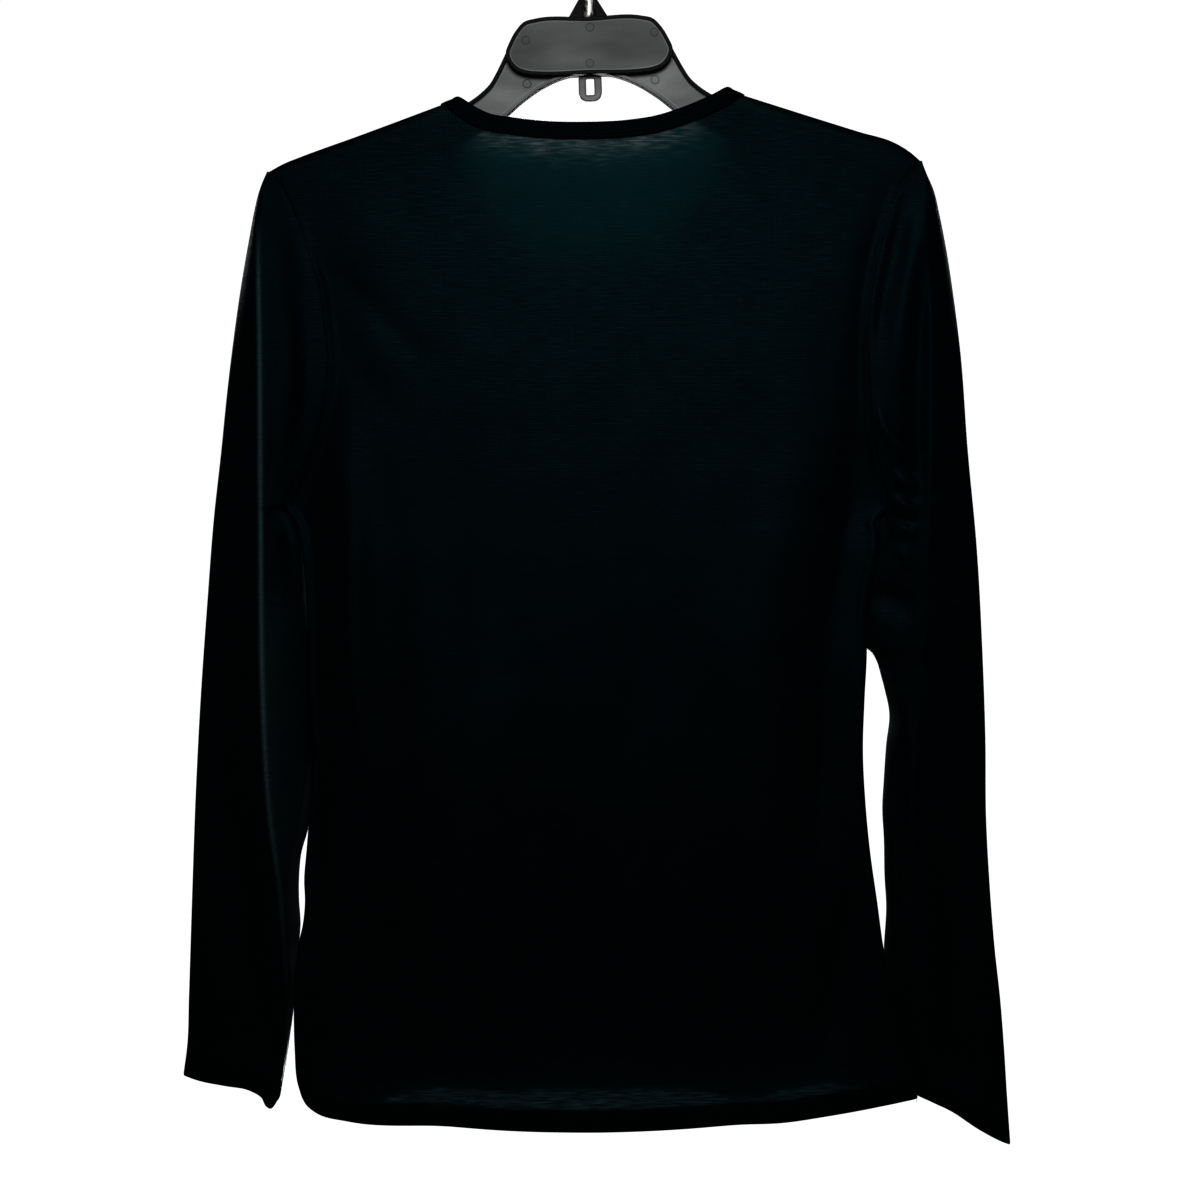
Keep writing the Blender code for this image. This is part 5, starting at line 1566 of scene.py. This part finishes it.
# %% Sewing thread
def sewing_thread(name, dark, light):
    """Spun polyester: a touch lighter and glossier than the knit, with its twist as a bump."""
    made, add, shader = new_material(name)
    place = add("TexCoord", out="Object")
    fine = add("VectorMath", [place, per_mm(0.6, 0.6, 0.6)], operation="MULTIPLY")
    fuzz = add("TexNoise", {"Vector": fine, "Scale": 1, "Detail": 2})
    feed(shader, {
        "Base Color": add("Mix", {0: fuzz, 6: linear(dark), 7: linear(light)}, 2, data_type="RGBA"),
        "Roughness": add("MapRange", [fuzz, 0.3, 0.7, 0.45, 0.65]),
        "Specular IOR Level": 0.2,
        "Normal": add("Bump", {"Strength": 0.3, "Distance": 0.05 * MM, "Height": fuzz}),
    })
    return made


black_thread = sewing_thread("black_polyester_thread", "#05090b", "#101a1e")
for piece in stitches.values():
    piece.data.materials.append(black_thread)
linty_thread = sewing_thread("worn_polyester_thread", "#3c464a", "#8f999c")
thread_end.data.materials.append(linty_thread)
print("threads:", black_thread.name, "and", linty_thread.name)


# %% [markdown]
# ## Black polystyrene and plated steel
# The hanger is high-impact polystyrene, injection moulded: nearly black, with a soft shine on its
# rims, and its matte fields painted grey as a painted reflection, with dust. The hook is drawn
# steel wire with a bright zinc coat that is scraped here and there, which breaks up its
# reflections.

# %% Black polystyrene and plated steel
def polystyrene():
    """Black moulded plastic: deep black on its rims; the grey on its matte fields is a painted
    reflection, with dust.
    """
    made, add, shader = new_material("black_polystyrene")
    place = add("TexCoord", out="Object")
    painted_reflection = add("Attribute", out="Fac", attribute_name="painted_reflection")
    wide = add("VectorMath", [place, per_mm(60, 30, 22)], operation="MULTIPLY")
    flow = add("TexNoise", {"Vector": wide, "Scale": 1, "Detail": 2})       # where the melt cooled
    # Dust is drawn at 1.4 mm, coarser than the real specks, which would be too fine to show.
    fine = add("VectorMath", [place, per_mm(1.4, 1.4, 0.9)], operation="MULTIPLY")
    dust = add("TexNoise", {"Vector": fine, "Scale": 1, "Detail": 4, "Roughness": 0.6})
    cloudy = add("MapRange", [flow, 0.35, 0.65, 0.75, 1.25])
    grainy = add("MapRange", [dust, 0.3, 0.7, 0.88, 1.12])
    tone = add("Math", [painted_reflection, cloudy], operation="MULTIPLY")
    tone = add("Math", [tone, grainy], operation="MULTIPLY")
    # the grey is a painted reflection, mixed in by each vertex's painted_reflection tone
    black, reflection_grey = linear("#050606"), linear("#858686")
    feed(shader, {
        "Base Color": add("Mix", {0: tone, 6: black, 7: reflection_grey}, 2, data_type="RGBA"),
        "Roughness": add("MapRange", [dust, 0.3, 0.7, 0.5, 0.62]),
        "IOR": 1.59, "Specular IOR Level": 0.1,
        "Normal": add("Bump", {"Strength": 0.15, "Distance": 0.1 * MM, "Height": dust}),
    })
    return made


def plated_steel():
    """Zinc-plated wire: bright and grey, drawn lengthways, with duller scraped patches."""
    made, add, shader = new_material("plated_steel")
    place = add("TexCoord", out="Object")
    lengthways = add("VectorMath", [place, per_mm(0.7, 0.7, 14)], operation="MULTIPLY")
    drawn = add("TexNoise", {"Vector": lengthways, "Scale": 1, "Detail": 3})
    patches = add("VectorMath", [place, per_mm(3, 3, 5)], operation="MULTIPLY")
    scrape = add("TexNoise", {"Vector": patches, "Scale": 1, "Detail": 4, "Roughness": 0.65})
    share = add("MapRange", [scrape, 0.42, 0.56])
    dull, bright = linear("#6f6f6a"), linear("#f0f0ea")
    feed(shader, {
        "Base Color": add("Mix", {0: share, 6: dull, 7: bright}, 2, data_type="RGBA"),
        "Roughness": add("MapRange", [scrape, 0.4, 0.6, 0.45, 0.62]),
        "Metallic": 1.0,
        "Normal": add("Bump", {"Strength": 0.3, "Distance": 0.08 * MM, "Height": drawn}),
    })
    return made


styrene, steel = polystyrene(), plated_steel()
for piece in hanger:
    piece.data.materials.append(styrene)
hook.data.materials.append(steel)
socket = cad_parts["hanger_socket"]
for material_slot in socket.material_slots:
    material_slot.material = styrene
print(styrene.name, "on", len(hanger) + 1, "pieces,", steel.name, "on", hook.name)

# %% [markdown]
# ## Stage, light and camera
# The top hangs in a white bowl that is floor and backdrop in one, so each side of the object is
# seen against the same pale ground. The main light is a soft box in front of and above the
# chest. It leaves the outer sides of the sleeves dark.

# %% Stage
scene = bpy.context.scene
scene.view_settings.view_transform = "Standard"
scene.view_settings.look = "High Contrast"
STAGE_FLOOR = -2.5          # metres, as all sizes of the stage
STAGE_RADIUS = 3.7
STAGE_TOP = 6.5
COVE = 1.6                  # radius of the bend between floor and wall


def make_stage():
    """A wide bowl: a round floor, a cove and an upright wall, spun from one profile."""
    bend = [(STAGE_RADIUS - COVE + COVE * math.sin(a), STAGE_FLOOR + COVE - COVE * math.cos(a))
            for a in np.radians(np.linspace(0, 90, 13))]
    profile = [(r, STAGE_FLOOR) for r in (0.001, 0.7, 1.4)] + bend
    profile += [(STAGE_RADIUS, 0.6), (STAGE_RADIUS, STAGE_TOP)]
    bm = bmesh.new()
    row = [bm.verts.new((x, 0, z)) for x, z in profile]
    edges = [bm.edges.new(pair) for pair in zip(row, row[1:])]
    bmesh.ops.spin(bm, geom=row + edges, cent=(0, 0, 0), axis=(0, 0, 1), angle=2 * math.pi,
                   steps=96, use_merge=True)
    weld(bm, 5)
    bmesh.ops.reverse_faces(bm, faces=bm.faces)
    mesh = bpy.data.meshes.new("stage")
    bm.to_mesh(mesh)
    bm.free()
    mesh.shade_smooth()
    bowl = bpy.data.objects.new("stage", mesh)
    scene.collection.objects.link(bowl)
    # It is a backdrop and not a lamp: the soft boxes alone light the cloth.
    bowl.visible_diffuse = False
    bowl.visible_glossy = False
    print("stage:", round(2 * STAGE_RADIUS, 1), "m wide")
    return bowl


def painted_white():
    """Matte wall paint, rolled on and a little uneven. It glows, so the ground stays pale."""
    made, add, shader = new_material("matte_white_paint")
    wide = add("VectorMath", [add("TexCoord", out="Object"), per_mm(900, 900, 900)],
               operation="MULTIPLY")
    cloud = add("TexNoise", {"Vector": wide, "Scale": 1, "Detail": 2})
    low, high = linear("#d6d6d4"), linear("#dcdcdc")
    feed(shader, {
        "Base Color": add("Mix", {0: cloud, 6: low, 7: high}, 2, data_type="RGBA"),
        "Roughness": 0.9, "Emission Color": (1, 1, 1, 1), "Emission Strength": 0.72,
    })
    made.cycles.emission_sampling = "NONE"
    return made


stage = make_stage()
stage.data.materials.append(painted_white())


# %% [markdown]
# ## Lights and camera
# Black cloth is seen by its reflections, so the lamps' places draw the folds. One soft box lights
# the near side, and two low-powered ones behind let the single layers glow. The camera looks
# straight at the chest with a long lens, so the outline isn't distorted.

# %% Lights and camera
def add_light(name, place, aim, size, power, spread=180, spares=()):
    """A round soft box, in metres, watts and degrees. It doesn't light the pieces it spares."""
    data = bpy.data.lights.new(name, "AREA")
    data.shape = "DISK"
    data.size = size
    data.energy = power
    data.spread = math.radians(spread)
    lamp = bpy.data.objects.new(name, data)
    scene.collection.objects.link(lamp)
    lamp.location = place
    lamp.rotation_euler = (Vector(aim) - Vector(place)).to_track_quat("-Z", "Y").to_euler()
    if spares:
        kept_dark = bpy.data.collections.new(name + "_spares")
        lamp.light_linking.receiver_collection = kept_dark
        for spared in spares:
            kept_dark.objects.link(spared)
        for entry in kept_dark.collection_objects:
            entry.light_linking.link_state = "EXCLUDE"


add_light("soft_box", (0.0, -0.85, 0.14), (0.03, 0, -0.29), 0.36, 1.0, 72)
add_light("back_box_high", (0.0, 1.5, -0.2), (0, 0, -0.2), 0.2, 2.8)
add_light("back_box_low", (0.0, 1.5, -0.95), (0, 0, -0.75), 0.3, 4.5, spares=hanger)
# The far side has its own soft boxes. They leave out the back panel, whose inside they would
# reach through the neck: it would glow, as the cloth is thin. The bright hook needs no more light.
unlit = (back_cloth, hook)
add_light("front_box", (0.0, 0.9, 0.1), (0, 0, -0.3), 0.36, 2.0, 80, unlit)
for way in (-1, 1):
    place, aim = (1.35 * way, 1.0, -0.1), (0.2 * way, 0, -0.4)
    add_light(f"side_box_{way}", place, aim, 0.5, 2.5, 120, unlit)
world = bpy.data.worlds.new("world")
scene.world = world
world.use_nodes = True
feed(world.node_tree.nodes["Background"], {"Color": (1, 1, 1, 1), "Strength": 0.015})

VIEW_WIDTH = 0.768          # how wide the camera sees at the object, metres
CAMERA_DISTANCE = 2.2
SENSOR = 36                 # millimetres
camera_data = bpy.data.cameras.new("camera")
camera = bpy.data.objects.new("camera", camera_data)
scene.collection.objects.link(camera)
scene.camera = camera
camera.location = (0.007, -CAMERA_DISTANCE, -0.4375)
camera.rotation_euler = (math.radians(90), 0, 0)
camera_data.sensor_width = SENSOR
camera_data.lens = SENSOR * CAMERA_DISTANCE / VIEW_WIDTH
print("lens, mm:", round(camera_data.lens, 1))
